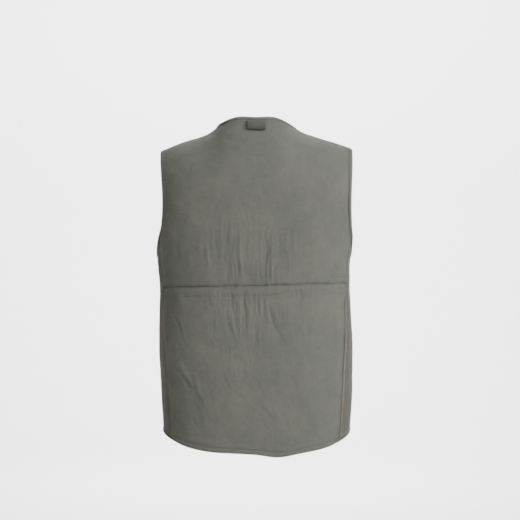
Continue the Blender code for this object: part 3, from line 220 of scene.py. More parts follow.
FRONT_CREASES = records(Crease, (
    (1500, -2900, 1380, -3600, 1280, -4500, 100, -37, 50, 30),
    (1720, -3300, 1680, -4000, 1600, -5000, 100, 34),
    (1000, -3300, 920, -4000, 960, -4800, 90, -31, 40, 20),
    (1160, -3000, 1110, -3500, 1080, -4100, 80, 24, 40),
    (600, -3800, 520, -4400, 580, -5200, 90, 29),
    (720, -3500, 660, -4000, 680, -4520, 70, -27, 40, 20),
    (840, -4300, 740, -5400, 720, -6400, 130, -34, 50, 30),
    (460, -4200, 400, -5000, 450, -5900, 90, -22),
    (1300, -5100, 1240, -6000, 1200, -6900, 130, 34, 60),
    (1520, -4800, 1470, -5600, 1500, -6500, 110, -27),
    (1900, -4400, 1820, -5400, 1860, -6600, 120, -32, 50, 20),
    (2020, -3600, 1960, -4200, 2000, -4900, 90, -27, 40, 20),
    (2120, -3000, 2080, -3500, 2100, -4100, 80, 24),
    (1650, -1200, 1400, -1600, 1120, -2150, 100, -31, 50, 30),
    (1500, -1050, 1200, -1500, 980, -1900, 100, 22),
    (1760, -1900, 1600, -2200, 1400, -2620, 90, -26, 50, 20),
    (1820, -2150, 1700, -2450, 1540, -2800, 80, 20),
    (460, -1500, 400, -2200, 440, -3000, 120, -24, 50, 20),
    (660, -1200, 620, -1800, 680, -2400, 120, 17),
    (300, -3000, 360, -4200, 300, -5600, 90, 19),
    (260, -2400, 300, -2800, 270, -3300, 70, -19),
    (900, -2500, 1100, -2620, 1360, -2580, 90, -17, 50, 20),
    (1000, -5600, 1250, -5720, 1500, -5660, 90, -15, 50, 20),
    (600, -6400, 900, -6550, 1250, -6500, 100, -15, 50, 20),
), shares=2)

# Puckers where the cloth is gathered into the waist seam: place across, size up and down, how deep.
Pucker = namedtuple("Pucker", "x spread above below height")
PUCKERS = records(Pucker, (
    (1910, 50, 100, 180, -12), (1760, 40, 60, 140, 10), (1600, 60, 120, 120, -10), (1410, 50, 80, 200, 11),
    (1270, 40, 100, 120, -13), (1120, 50, 140, 160, 12), (960, 40, 80, 220, -15), (840, 50, 100, 140, 12),
    (730, 40, 160, 200, -17), (610, 40, 80, 160, 15), (490, 40, 120, 220, -18), (400, 40, 180, 180, 17),
    (290, 40, 120, 240, -19), (180, 50, 80, 180, 15), (60, 40, 100, 120, -14), (-50, 40, 60, 200, 13),
    (-170, 40, 180, 140, -16), (-270, 50, 120, 120, 26), (-380, 40, 120, 200, -18),
    (-480, 40, 120, 140, 12), (-590, 50, 80, 180, -13), (-740, 40, 140, 120, 12), (-880, 50, 80, 180, -13),
    (-1030, 50, 100, 140, 11), (-1210, 60, 80, 160, -11), (-1380, 50, 120, 120, 10),
    (-1560, 60, 80, 140, -10), (-1750, 50, 100, 160, 10), (-1880, 50, 60, 120, -9),
))

# Waist seam, its casing and the hem
WAIST_Z = -0.3605
WAIST_TILT = -0.024
SEAM_GROOVE = 0.0015
SEAM_GROOVE_SPREAD = 0.0030
Dip = namedtuple("Dip", "x spread depth")
SEAM_DIPS = records(Dip, (
    (1680, 300, 6), (1260, 240, 4), (680, 220, 16), (-180, 90, 14), (-600, 320, 13), (-1600, 240, 6),
))
CASING_DEPTH = 0.0245
CASING_RISE = 0.008
CASING_RISE_X = -0.055
CASING_GROOVE = 0.0011
CASING_GROOVE_SPREAD = 0.0026
HEM_FOLD = 0.0095
HEM_GROOVE = 0.0012
HEM_GROOVE_SPREAD = 0.0022
HEM_PUFF = 0.0006
HEM_TOP_Z = -0.69

# Stitching
BAND_STITCH = 0.0084
SEAM_STITCH = 0.0032
ZIP_STITCH = 0.0045
SIDE_STITCH_ASIDE = 0.0022
SIDE_STITCH_AHEAD = -0.0042
RAY_START = 0.02
BATCH = 40
BAND_WEAR = 0.1
PANELS = ("upper_back_cloth", "lower_back_cloth", "left_front_cloth", "right_front_cloth")

# Guide lines of the stitches, laid near the cloth and then dropped on it
BACK_REACH = 0.198
BACK_POINTS = 240
BACK_DEPTH = 0.129
BACK_HALF_WIDTH = 0.2195
BACK_SQUARENESS = 2.4
BACK_ROUNDNESS = 0.42
ARMHOLE_CENTRE = Vector((0, 0, -0.17))
ARMHOLE_INNER_X = 0.185
ARMHOLE_HALF_DEPTH = 0.09
ARMHOLE_LOW_Z = -0.30
ARMHOLE_HIGH_Z = -0.056
ARMHOLE_SEAM_Y = 0.056
ARMHOLE_SEAM_Z = -0.25
ARMHOLE_INWARD = 0.15
NECK_CENTRE = Vector((0, -0.03, 0))
NECK_HALF_WIDTH = 0.0865
NECK_HALF_DEPTH = 0.123
NECK_LOW_Z = -0.112
NECK_FALL = 0.3
ZIP_EDGE_X = 0.008
ZIP_STITCH_TOP_Z = -0.118
HEM_END_X = 0.004
HEM_ZIP_X = 0.009
SIDE_X = 0.15
SIDE_Y = 0.09
SIDE_LOW_Z = -0.70
SIDE_WAIST_Z = -0.352
SIDE_TOP_Z = -0.255
STRIP_INSETS = (0.0018, 0.0088)
STRIP_LOW_Z = -0.69
STRIP_HIGH_Z = -0.40
STRIP_POINTS = 60
STRIP_SLICE = 0.012
STRIP_WIDTH = 0.009

# Zip
TAPE_BEVEL = 0.0002
METAL_BEVEL = 0.00028
TOOTH_WIDTH = 0.0042
TOOTH_DEPTH = 0.0023
TOOTH_SHARE = 0.42
TOOTH_BEVEL = 0.0003
TOOTH_ASIDE = 0.0010
TOOTH_BACK = 0.0012
CHAIN_START = 0.0012
CHAIN_END = 0.001
LEVEL_STEP = 0.004
LEVEL_REACH = 0.0015

# Stage. The paper is darker on one side, so that the light falls off towards the wearer's left.
SHADE_START_X = -0.1
SHADE_END_X = 6.1
ROOM_REACH = 5.0
ROOM_RISE = 4.5
ROOM_CORNER = 1.6
AIM = (0, 0, -0.35)
CAMERA_X = -0.008
CAMERA_Z = -0.305
LENS = 78.2
SENSOR = 36.0


# Settings

def distance(name, description, default, low, high):
    return bpy.props.FloatProperty(name=name, description=description, default=default, min=low, max=high,
                                   subtype="DISTANCE", unit="LENGTH")


def tint(name, description, default):
    return bpy.props.FloatVectorProperty(name=name, description=description, default=default, min=0, max=1,
                                         size=3, subtype="COLOR")


def power(name, description, default):
    return bpy.props.FloatProperty(name=name, description=description, default=default, min=0, unit="POWER")


class VestCloth(bpy.types.PropertyGroup):
    thickness: distance("Thickness", "Wall of the cotton cloth", 0.0014, 0.0005, 0.003)
    crease: bpy.props.FloatProperty(name="Creases", description="Share of the creases' full depth",
                                    default=0.42, min=0.0, max=2.0, subtype="FACTOR")
    unevenness: distance("Unevenness", "Depth of the cloth's slow waves", 0.0011, 0.0, 0.003)
    cloth: tint("Cloth", "Brushed cotton's colour", (0.094, 0.096, 0.085))
    band: tint("Edge bands", "Colour of the bands", (0.094, 0.094, 0.085))
    welt: tint("Side strips", "Colour of the side strips", (0.098, 0.094, 0.083))
    # Painted shade: the fronts are the back's cloth, a little warmer, darkened because their sides lie in
    # shade.
    front: tint("Front cloth", "Colour of the fronts, darker as painted shade", (0.074, 0.071, 0.061))
    # Painted shade: the loop is of the same cloth, darkened to its shaded look.
    loop: tint("Hanging loop", "Colour of the loop, darker as painted shade", (0.050, 0.051, 0.046))


class VestStitch(bpy.types.PropertyGroup):
    length: distance("Stitch", "Length of one stitch", 0.0026, 0.001, 0.006)
    pitch: distance("Pitch", "From one stitch to the next", 0.0034, 0.0015, 0.008)
    width: distance("Thread", "Width of the thread", 0.0006, 0.0003, 0.0015)
    thread: tint("Thread colour", "Colour of the thread", (0.050, 0.050, 0.043))


class VestZip(bpy.types.PropertyGroup):
    pitch: distance("Tooth pitch", "From one tooth to the next on a side", 0.0032, 0.002, 0.006)
    metal: tint("Metal", "Colour of the metal", (0.055, 0.051, 0.043))
    tape: tint("Tape", "Colour of the tape", (0.045, 0.046, 0.039))


class VestStage(bpy.types.PropertyGroup):
    floor_z: distance("Floor", "Height of the floor", -1.35, -5.0, -0.8)
    camera_y: distance("Camera distance", "Distance behind the vest", 2.6, 1.0, 4.5)
    sky: bpy.props.FloatProperty(name="Room light", description="Strength of the light all round",
                                 default=0.2, min=0)
    key: power("Key light", "Power of the key light", 205.0)
    fill: power("Fill light", "Power of the fill light", 20.0)
    backdrop: power("Backdrop light", "Power of the light on the backdrop", 1000.0)


# Materials

def link(tree, source, output, target, name):
    tree.links.new(source.outputs[output], target.inputs[name])


def put(made, **values):
    """Sets a node's sockets by name, with an underscore for each space, and else its properties."""
    for name, value in values.items():
        socket = name.replace("_", " ")
        if socket in made.inputs:
            made.inputs[socket].default_value = value
        else:
            setattr(made, name, value)
    return made


def node(tree, kind, **values):
    return put(tree.nodes.new(kind), **values)


def new_material(name):
    """A new material, its node tree and shader; no tree where the material was already made."""
    made = bpy.data.materials.get(name)
    if made:
        return made, None, None
    made = bpy.data.materials.new(name)
    made.use_nodes = True
    return made, made.node_tree, made.node_tree.nodes["Principled BSDF"]


def noise_at(tree, place, scale, detail=3.0, roughness=0.55):
    made = node(tree, "ShaderNodeTexNoise", Scale=scale, Detail=detail, Roughness=roughness)
    link(tree, place, "Object", made, "Vector")
    return made


def mix_by(tree, factor, output, low, high):
    """A colour ramp between two colours, read by a factor."""
    ramp = node(tree, "ShaderNodeValToRGB")
    ramp.color_ramp.elements[0].position, ramp.color_ramp.elements[1].position = 0.3, 0.7
    ramp.color_ramp.elements[0].color = (*low, 1.0)
    ramp.color_ramp.elements[1].color = (*high, 1.0)
    link(tree, factor, output, ramp, "Fac")
    return ramp


def multiply(tree, one, one_output, two, two_output):
    made = node(tree, "ShaderNodeMix", data_type="RGBA", blend_type="MULTIPLY", Factor=1.0)
    tree.links.new(one.outputs[one_output], made.inputs["A"])
    tree.links.new(two.outputs[two_output], made.inputs["B"])
    return made


def raise_by(tree, source, shader, **values):
    """Bump read from a factor."""
    bump = node(tree, "ShaderNodeBump", **values)
    link(tree, source, "Fac", bump, "Height")
    link(tree, bump, "Normal", shader, "Normal")


def scaled(colour, share):
    return tuple(min(channel * share, 1.0) for channel in colour)


def shade_and_wear_tone(tree):
    """Multiplier from the attribute of painted shade and wear: darker at -1 as painted shade in folds and at
    edges, paler at 1 as painted highlight on ridges and as a rubbed hem.
    """
    shade_and_wear = node(tree, "ShaderNodeAttribute", attribute_name="shade_and_wear")
    spread = node(tree, "ShaderNodeMapRange", From_Min=-1.0)
    link(tree, shade_and_wear, "Fac", spread, "Value")
    ramp = node(tree, "ShaderNodeValToRGB")
    ramp.color_ramp.elements[0].color = (0.62, 0.62, 0.63, 1.0)
    ramp.color_ramp.elements[1].color = (1.0, 0.99, 0.96, 1.0)
    even = ramp.color_ramp.elements.new(0.5)
    even.color = (0.78, 0.78, 0.78, 1.0)
    link(tree, spread, "Result", ramp, "Fac")
    return ramp


def brushed_cotton(name, colour, weave_turn=0.0):
    """Cotton twill with a raised nap: cloudy colour, a fine grain, twill lines, wrinkles, a soft sheen, and
    painted shade, painted highlight and wear read from the mesh's attribute.
    """
    made, tree, shader = new_material(name)
    if not tree:
        return made
    base = scaled(colour, 1 / 0.78)
    place = node(tree, "ShaderNodeTexCoord")
    cloud = noise_at(tree, place, 11.0, 4.0)
    cloudy = mix_by(tree, cloud, "Fac", scaled(base, 0.93),
                    tuple(c * w for c, w in zip(scaled(base, 1.06), (1.02, 1.0, 0.965))))
    blotch = noise_at(tree, place, 55.0, 5.0, 0.7)
    blotched = multiply(tree, cloudy, "Color",
                        mix_by(tree, blotch, "Fac", (0.90, 0.90, 0.91), (1.0, 1.0, 0.99)), "Color")
    nap = noise_at(tree, place, 420.0, 5.0, 0.7)
    grained = multiply(tree, blotched, "Result",
                       mix_by(tree, nap, "Fac", (0.82, 0.82, 0.82), (1.0, 1.0, 1.0)), "Color")
    # The painted shade, painted highlight and wear multiply the colour.
    shaded_and_worn = multiply(tree, grained, "Result", shade_and_wear_tone(tree), "Color")
    link(tree, shaded_and_worn, "Result", shader, "Base Color")

    turn = node(tree, "ShaderNodeMapping", vector_type="POINT",
                Rotation=(0, 0, math.radians(52) + weave_turn))
    link(tree, place, "UV", turn, "Vector")
    twill = node(tree, "ShaderNodeTexWave", wave_type="BANDS", bands_direction="X", Scale=330.0,
                 Distortion=1.6, Detail=2.0)
    link(tree, turn, "Vector", twill, "Vector")
    tall = node(tree, "ShaderNodeMapping", vector_type="POINT", Scale=(62.0, 9.0, 1.0))
    link(tree, place, "UV", tall, "Vector")
    wrinkle = node(tree, "ShaderNodeTexNoise", Scale=1.0, Detail=3.0, Distortion=0.6)
    link(tree, tall, "Vector", wrinkle, "Vector")
    gather = node(tree, "ShaderNodeAttribute", attribute_name="gather")
    fuzz = noise_at(tree, place, 1100.0, 3.0, 0.65)
    lump = noise_at(tree, place, 120.0, 3.0)
    rumple = noise_at(tree, place, 34.0, 4.0, 0.6)
    heights = None
    for source, strength, distance in ((wrinkle, 1.0, 0.0018), (rumple, 0.5, 0.0022), (lump, 0.4, 0.0009),
                                       (twill, 0.25, 0.00025), (fuzz, 0.45, 0.0003)):
        bump = node(tree, "ShaderNodeBump", Strength=strength, Distance=distance)
        link(tree, source, "Fac", bump, "Height")
        if heights:
            link(tree, heights, "Normal", bump, "Normal")
        else:
            link(tree, gather, "Fac", bump, "Strength")
        heights = bump
    link(tree, heights, "Normal", shader, "Normal")
    rough = node(tree, "ShaderNodeMapRange", To_Min=0.86, To_Max=0.98)
    link(tree, nap, "Fac", rough, "Value")
    link(tree, rough, "Result", shader, "Roughness")
    put(shader, Sheen_Weight=0.05, Sheen_Roughness=0.55, Specular_IOR_Level=0.15)
    return made


def woven_tape(name, colour):
    """Dense ribbed tape of the zip."""
    made, tree, shader = new_material(name)
    if not tree:
        return made
    place = node(tree, "ShaderNodeTexCoord")
    ribs = node(tree, "ShaderNodeTexWave", wave_type="BANDS", bands_direction="DIAGONAL", Scale=420.0,
                Distortion=0.6)
    link(tree, place, "Object", ribs, "Vector")
    ramp = mix_by(tree, ribs, "Fac", scaled(colour, 0.75), scaled(colour, 1.3))
    link(tree, ramp, "Color", shader, "Base Color")
    raise_by(tree, ribs, shader, Strength=0.5, Distance=0.0003)
    put(shader, Roughness=0.8, Sheen_Weight=0.1)
    return made


def thread_material(name, colour):
    """Twisted thread."""
    made, tree, shader = new_material(name)
    if not tree:
        return made
    place = node(tree, "ShaderNodeTexCoord")
    twist = noise_at(tree, place, 2600.0, 2.0)
    ramp = mix_by(tree, twist, "Fac", scaled(colour, 0.7), scaled(colour, 1.35))
    link(tree, ramp, "Color", shader, "Base Color")
    put(shader, Roughness=0.6, Sheen_Weight=0.15)
    return made


def dark_metal(name, colour):
    """Oxidised metal with a satin, slightly rubbed face."""
    made, tree, shader = new_material(name)
    if not tree:
        return made
    place = node(tree, "ShaderNodeTexCoord")
    rub = noise_at(tree, place, 260.0, 4.0)
    ramp = mix_by(tree, rub, "Fac", scaled(colour, 0.7), scaled(colour, 1.7))
    link(tree, ramp, "Color", shader, "Base Color")
    rough = node(tree, "ShaderNodeMapRange", To_Min=0.28, To_Max=0.5)
    link(tree, rub, "Fac", rough, "Value")
    link(tree, rough, "Result", shader, "Roughness")
    raise_by(tree, rub, shader, Strength=0.2, Distance=0.0001)
    put(shader, Metallic=0.95)
    return made


# Meshes

def new_object(name, bm, finish):
    """Puts a bmesh into a new object with its material, at the origin."""
    mesh = bpy.data.meshes.new(name)
    bm.to_mesh(mesh)
    bm.free()
    mesh.materials.append(finish)
    mesh.shade_smooth()
    made = bpy.data.objects.new(name, mesh)
    bpy.context.scene.collection.objects.link(made)
    return made


def merged(node_name):
    """The node's mesh with its loose triangles joined up into quads."""
    bm = bmesh.new()
    bm.from_mesh(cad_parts[node_name].data)
    bmesh.ops.remove_doubles(bm, verts=bm.verts[:], dist=MERGE)
    bmesh.ops.join_triangles(bm, faces=bm.faces[:], angle_face_threshold=JOIN_ANGLE,
                             angle_shape_threshold=SHAPE_ANGLE)
    bm.normal_update()
    return bm


def outwards(point):
    """Rough direction out of the body at a place."""
    heart = Vector((point.x * 0.7, 0.0, min(point.z - 0.02, -0.17)))
    return (point - heart).normalized()


def outer_wall(node_name):
    """The outside of a cloth node, cut off at its rims."""
    bm = merged(node_name)

    def outside(face):
        return face.normal.dot(outwards(face.calc_center_median())) * face.calc_area()

    seed = max(bm.faces, key=outside)
    kept, queue = {seed}, [seed]
    while queue:
        face = queue.pop()
        for edge in face.edges:
            if edge.calc_face_angle(0.0) > RIM_ANGLE:
                continue
            for other in edge.link_faces:
                if other not in kept:
                    kept.add(other)
                    queue.append(other)
    bmesh.ops.delete(bm, geom=[face for face in bm.faces if face not in kept], context="FACES")
    return bm


def runs_round(edge):
    """Whether an edge runs round the body or across the shoulder, not up it."""
    way = edge.verts[1].co - edge.verts[0].co
    low = edge.verts[0].co.z < ARMHOLE_FOOT_Z
    return abs(way.x) > 0.35 * way.length or (low and abs(way.y) > 0.6 * way.length)


def refine(bm):
    """Halves the columns, and the rows next to an open edge."""
    bmesh.ops.subdivide_edges(bm, edges=[edge for edge in bm.edges if runs_round(edge)], cuts=1,
                              use_grid_fill=True)
    rungs = [edge for edge in bm.edges if not edge.is_boundary
             and edge.verts[0].is_boundary != edge.verts[1].is_boundary]
    bmesh.ops.subdivide_edges(bm, edges=rungs, cuts=1, use_grid_fill=True)


def with_modifiers(made, *modifiers):
    """Applies modifiers, each a type and its values, and leaves a plain mesh."""
    for kind, values in modifiers:
        modifier = made.modifiers.new(kind.title(), kind)
        for name, value in values.items():
            setattr(modifier, name, value)
    depsgraph = bpy.context.evaluated_depsgraph_get()
    mesh = bpy.data.meshes.new_from_object(made.evaluated_get(depsgraph))
    made.modifiers.clear()
    old = made.data
    made.data = mesh
    mesh.name = made.name
    bpy.data.meshes.remove(old)
    mesh.shade_smooth()
    return made


def smooth_levels(count):
    return "SUBSURF", {"levels": count, "render_levels": count, "boundary_smooth": "PRESERVE_CORNERS"}


# Relief

def bell(aside, lean=0.0):
    """Soft section of a crease, 1 in the middle and 0 from its sides on, with one flank steeper."""
    inside = np.clip(aside, -1, 1)
    return 0.5 + 0.5 * np.cos(np.pi * np.clip(inside + lean * (1 - inside * inside) * 0.5, -1, 1))


def through(t, start, middle, end):
    """Curve from start to end that passes through middle halfway."""
    bend = 2 * middle - (start + end) / 2
    return (1 - t) ** 2 * start + 2 * t * (1 - t) * bend + t ** 2 * end


def crease_line(crease):
    """Points along a crease, with a slight sway of its own."""
    t = np.linspace(0, 1, CREASE_STEPS + 1)
    sway = crease.spread * CREASE_SWAY * np.sin(t * 11 + crease.x_top * 900)
    return (through(t, crease.x_top, crease.x_mid, crease.x_bottom) + sway,
            through(t, crease.z_top, crease.z_mid, crease.z_bottom))


def crease_relief(creases, x, z):
    """How far the creases move the cloth out at each place."""
    total = np.zeros_like(x)
    for crease in creases:
        line_x, line_z = crease_line(crease)
        reach = crease.spread * 2.3
        near = np.flatnonzero((x > line_x.min() - reach) & (x < line_x.max() + reach)
                              & (z > line_z.min() - reach) & (z < line_z.max() + reach))
        here_x, here_z = x[near], z[near]
        nearest = np.full(near.shape, np.inf)
        along, aside = np.zeros(near.shape), np.zeros(near.shape)
        for n in range(CREASE_STEPS):
            run_x, run_z = line_x[n + 1] - line_x[n], line_z[n + 1] - line_z[n]
            from_x, from_z = here_x - line_x[n], here_z - line_z[n]
            share = np.clip((from_x * run_x + from_z * run_z) / (run_x ** 2 + run_z ** 2), 0, 1)
            off_x, off_z = from_x - share * run_x, from_z - share * run_z
            distance = np.hypot(off_x, off_z)
            nearer = distance < nearest
            nearest = np.where(nearer, distance, nearest)
            along = np.where(nearer, (n + share) / CREASE_STEPS, along)
            aside = np.where(nearer, np.copysign(distance, off_x * run_z - off_z * run_x), aside)
        rise = np.where(along < crease.deepest, along / crease.deepest, (1 - along) / (1 - crease.deepest))
        strength = np.sin(rise * np.pi / 2)
        across = aside / (crease.spread * (0.65 + 0.35 * strength))
        section = bell(across, crease.lean) - CREASE_RIM * (bell(across - 1.25) + bell(across + 1.25))
        total[near] += crease.height * strength ** 1.3 * section
    return total


def from_waist(x, z):
    return z - WAIST_Z - WAIST_TILT * x


def casing_depth(x):
    """How far the casing's stitches lie below the waist seam."""
    return CASING_DEPTH - CASING_RISE / (1 + np.exp((x - CASING_RISE_X) / 0.006))


def waist_relief(x, z):
    """Gathers on both sides of the waist seam, its groove and the casing's groove."""
    up = from_waist(x, z)
    total = np.zeros_like(x)
    for pucker in PUCKERS:
        down = np.abs(up) / np.where(up > 0, pucker.above, pucker.below)
        drift = 0.12 * up * np.sign(pucker.height)
        total += pucker.height * bell((x - pucker.x - drift) / pucker.spread) * np.clip(1 - down, 0, 1) ** 1.3
    groove = SEAM_GROOVE + sum(dip.depth * bell((x - dip.x) / dip.spread) for dip in SEAM_DIPS)
    total -= groove * np.exp(-(up / SEAM_GROOVE_SPREAD) ** 2)
    middle = 0.35 + 0.65 * bell((x + 0.01) / 0.11)
    total -= CASING_GROOVE * middle * np.exp(-((up + casing_depth(x)) / CASING_GROOVE_SPREAD) ** 2)
    return total


def hem_relief(above, x):
    """Stitched groove of the hem's fold, and the fold's puffs under it."""
    puffs = 0.7 + 0.3 * np.sin(x * 430 + 2 * np.sin(x * 61))
    return (HEM_PUFF * puffs * bell((above - HEM_FOLD / 2) / (HEM_FOLD / 2))
            - HEM_GROOVE * np.exp(-((above - HEM_FOLD) / HEM_GROOVE_SPREAD) ** 2))


def slow_waves(places, depth):
    """Low swells all over the cloth."""
    shift = Vector((3.1, 0.7, 5.2))
    return np.array([depth * (noise.noise(place * 14.0) + 0.5 * noise.noise(place * 38.0 + shift))
                     for place in places])


def rim_distance(mesh, chosen):
    """Distance of each vertex to the nearest chosen vertex on an open edge."""
    bm = bmesh.new()
    bm.from_mesh(mesh)
    rim = [vert.co for vert in bm.verts if vert.is_boundary and chosen(vert)]
    tree = KDTree(len(rim))
    for n, place in enumerate(rim):
        tree.insert(place, n)
    tree.balance()
    found = np.array([tree.find(vert.co)[2] for vert in bm.verts])
    bm.free()
    return found


def off_waist(vert):
    return vert.co.y < 0.03 or abs(from_waist(vert.co.x, vert.co.z)) > 0.004


def at_hem(vert):
    return vert.co.z < HEM_TOP_Z and any(edge.is_boundary and runs_round(edge) for edge in vert.link_edges)


def set_uv(mesh):
    """UV in metres: round the body, and up it or over the shoulder."""
    layer = mesh.uv_layers.get("UVMap") or mesh.uv_layers.new(name="UVMap")
    for loop in mesh.loops:
        point = mesh.vertices[loop.vertex_index].co
        over = min(max((point.z - SHOULDER_START_Z) / SHOULDER_BLEND, 0.0), 1.0)
        round_body = math.atan2(point.x, point.y if abs(point.y) > 1e-6 else 1e-6) * BODY_TURN_RADIUS
        layer.data[loop.index].uv = (round_body, point.z - over * abs(point.y))


def set_values(mesh, name, values):
    layer = mesh.attributes.get(name) or mesh.attributes.new(name, "FLOAT", "POINT")
    layer.data.foreach_set("value", np.asarray(values, dtype=np.float32))


def panel(name, node_name, creases, finish, cloth):
    """A cloth panel on its node's outside: smoothed, creased, and marked with painted shade and painted
    highlight on its creases, painted shade at its edges and wear at its hem.
    """
    bm = outer_wall(node_name)
    refine(bm)
    made = new_object(name, bm, finish)
    with_modifiers(made, smooth_levels(2))
    mesh = made.data
    is_back = node_name.startswith("back")
    places = [vert.co.copy() for vert in mesh.vertices]
    normals = [vert.normal.copy() for vert in mesh.vertices]
    x = np.array([place.x for place in places])
    z = np.array([place.z for place in places])
    from_edge = rim_distance(mesh, off_waist)
    still = np.minimum(from_edge / CALM_FROM_EDGE, 1)
    # Painted shade: the colour darkens near the panel's open edges, where it meets the bands and the other
    # pieces.
    shade = -EDGE_SHADE * np.maximum(1 - from_edge / EDGE_SHADE_REACH, 0)
    folds = crease_relief(creases, x if is_back else np.abs(x), z) * cloth.crease
    if is_back:
        near_waist = np.minimum(np.abs(from_waist(x, z)) / CALM_FROM_SEAM, 1)
        folds = folds * near_waist + waist_relief(x, z) * cloth.crease
    out = (folds + slow_waves(places, cloth.unevenness)) * still
    if node_name != "back_upper":
        from_hem = rim_distance(mesh, at_hem)
        out += hem_relief(from_hem, x)
        # At the hem the painted edge shade is taken off again and the cloth is rubbed paler, which is wear.
        shade += (EDGE_SHADE + HEM_RUB) * np.maximum(1 - from_hem / EDGE_SHADE_REACH, 0)
    for vert, normal, move in zip(mesh.vertices, normals, out):
        vert.co += normal * float(move)
    cloudy = np.array([noise.noise(place * 22.0) for place in places])
    # Colour attribute: painted shade in the creases' troughs, painted highlight on their ridges, painted
    # shade at the edges, the rubbed hem and a random cloudy tone.
    set_values(mesh, "shade_and_wear", np.clip(folds / FOLD_SHADE_DEPTH + shade + 0.12 * cloudy, -1, 1))
    set_values(mesh, "gather", (0.12 + 0.88 * np.exp(-((z - WAIST_Z) / 0.10) ** 2) * np.exp(-(x / 0.13) ** 4))
               if is_back else np.full(z.shape, 0.2))
    set_uv(mesh)
    return made


def give_wall(made, thickness):
    """Thickens an open shell inwards."""
    return with_modifiers(made, ("SOLIDIFY", {"thickness": thickness, "offset": -1.0,
                                              "use_even_offset": True}))


def soft_copy(name, node_name, finish, levels=1):
    """A closed cloth node with its corners rounded."""
    made = new_object(name, merged(node_name), finish)
    with_modifiers(made, ("SUBSURF", {"levels": levels, "render_levels": levels}))
    set_uv(made.data)
    set_values(made.data, "shade_and_wear", [BAND_WEAR] * len(made.data.vertices))
    set_values(made.data, "gather", [0.0] * len(made.data.vertices))
    return made


def finish_piece(made, node_name, body=BODY):
    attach(made, body)
    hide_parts(node_name)


# Stitching

def surface_of(*names):
    """One search tree over the finished pieces."""
    bm = bmesh.new()
    for name in names:
        bm.from_mesh(bpy.data.objects[name].data)
    tree = BVHTree.FromBMesh(bm)
    bm.free()
    return tree


def on_surface(tree, point, direction):
    """Outer face met from outside at a place, with its direction out; None where nothing is met."""
    place, normal, _, _ = tree.ray_cast(point + direction * RAY_START, -direction, RAY_START * 2)
    if place is None:
        return None
    return place, normal if normal.dot(direction) > 0 else -normal


def resample(points, pitch):
    """Points a fixed way apart along a line."""
    result, carried = [points[0]], 0.0
    for a, b in zip(points, points[1:]):
        length = (b - a).length
        while carried + length >= pitch:
            share = (pitch - carried) / length
            a = a.lerp(b, share)
            length = (b - a).length
            result.append(a)
            carried = 0.0
        carried += length
    return result


def stamped(matrices, stamp):
    """Many small copies, made in batches because each operator walks its whole mesh."""
    whole = bmesh.new()
    for start in range(0, len(matrices), BATCH):
        batch = bmesh.new()
        for matrix in matrices[start:start + BATCH]:
            stamp(batch, matrix)
        mesh = bpy.data.meshes.new("batch")
        batch.to_mesh(mesh)
        batch.free()
        whole.from_mesh(mesh)
        bpy.data.meshes.remove(mesh)
    return whole


def one_stitch(bm, matrix):
    bmesh.ops.create_uvsphere(bm, u_segments=6, v_segments=4, radius=1.0, matrix=matrix)


def stitch_line(name, lines, tree, finish, stitch, direction_at=outwards):
    """Raised stitches laid on the surface along each line."""
    matrices = []
    for line in lines:
        places = [on_surface(tree, point, direction_at(point)) for point in resample(line, stitch.pitch)]
        for one, two in zip(places, places[1:]):
            if one is None or two is None:
                continue
            along = two[0] - one[0]
            if along.length > stitch.pitch * 1.6 or along.length < stitch.pitch * 0.3:
                continue
            along.normalize()
            out = (one[1] + two[1]).normalized()
            across = out.cross(along).normalized()
            out = along.cross(across)
            middle = (one[0] + two[0]) / 2 + out * stitch.width * 0.15
            turn = Matrix((along, across, out)).transposed().to_4x4()
            size = Matrix.Diagonal((stitch.length / 2, stitch.width / 2, stitch.width / 2, 1.0))
            matrices.append(Matrix.Translation(middle) @ turn @ size)
    made = new_object(name, stamped(matrices, one_stitch), finish)
    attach(made, BODY)
    return made


def rim_points(name, chosen):
    """Open edge's points of a shell that pass a test."""
    bm = bmesh.new()
    bm.from_mesh(bpy.data.objects[name].data)
    points = [vert.co.copy() for vert in bm.verts if vert.is_boundary and chosen(vert.co)]
    bm.free()
    return points


def across_back(below_at):
    """Line across the back, as far below the waist seam as asked at each place."""
    row = [-BACK_REACH + 2 * BACK_REACH * n / BACK_POINTS for n in range(BACK_POINTS + 1)]
    return [Vector((x, BACK_DEPTH * (1 - abs(x / BACK_HALF_WIDTH) ** BACK_SQUARENESS) ** BACK_ROUNDNESS,
                    WAIST_Z + WAIST_TILT * x - below_at(x))) for x in row]


def hem_line():
    """Line at the top of the hem's fold, from one zip edge round the back to the other."""
    def on_hem(p):
        return p.z < HEM_TOP_Z and abs(p.x) > HEM_END_X and (abs(p.x) > HEM_ZIP_X or p.y > 0)

    hem = [p for name in PANELS[1:] for p in rim_points(name, on_hem)]
    hem.sort(key=lambda p: math.atan2(p.x, p.y))
    return [p + Vector((0, 0, HEM_FOLD)) for p in hem]


def armhole_line(side, word):
    """Closed line round one armhole, on its band."""
    def on_rim(p):
        past_seam = p.z < ARMHOLE_SEAM_Z and p.y > ARMHOLE_SEAM_Y
        return (p.x * side > ARMHOLE_INNER_X and ARMHOLE_LOW_Z < p.z <= ARMHOLE_HIGH_Z
                and abs(p.y) < ARMHOLE_HALF_DEPTH and not past_seam)

    rim = rim_points("upper_back_cloth", on_rim) + rim_points(word + "_front_cloth", on_rim)
    rim.sort(key=lambda p: math.atan2(p.y, p.z - ARMHOLE_CENTRE.z))
    line = []
    for p in rim:
        away = Vector((-side * ARMHOLE_INWARD, p.y, p.z - ARMHOLE_CENTRE.z)).normalized()
        line.append(p + away * BAND_STITCH)
    return line + line[:1]


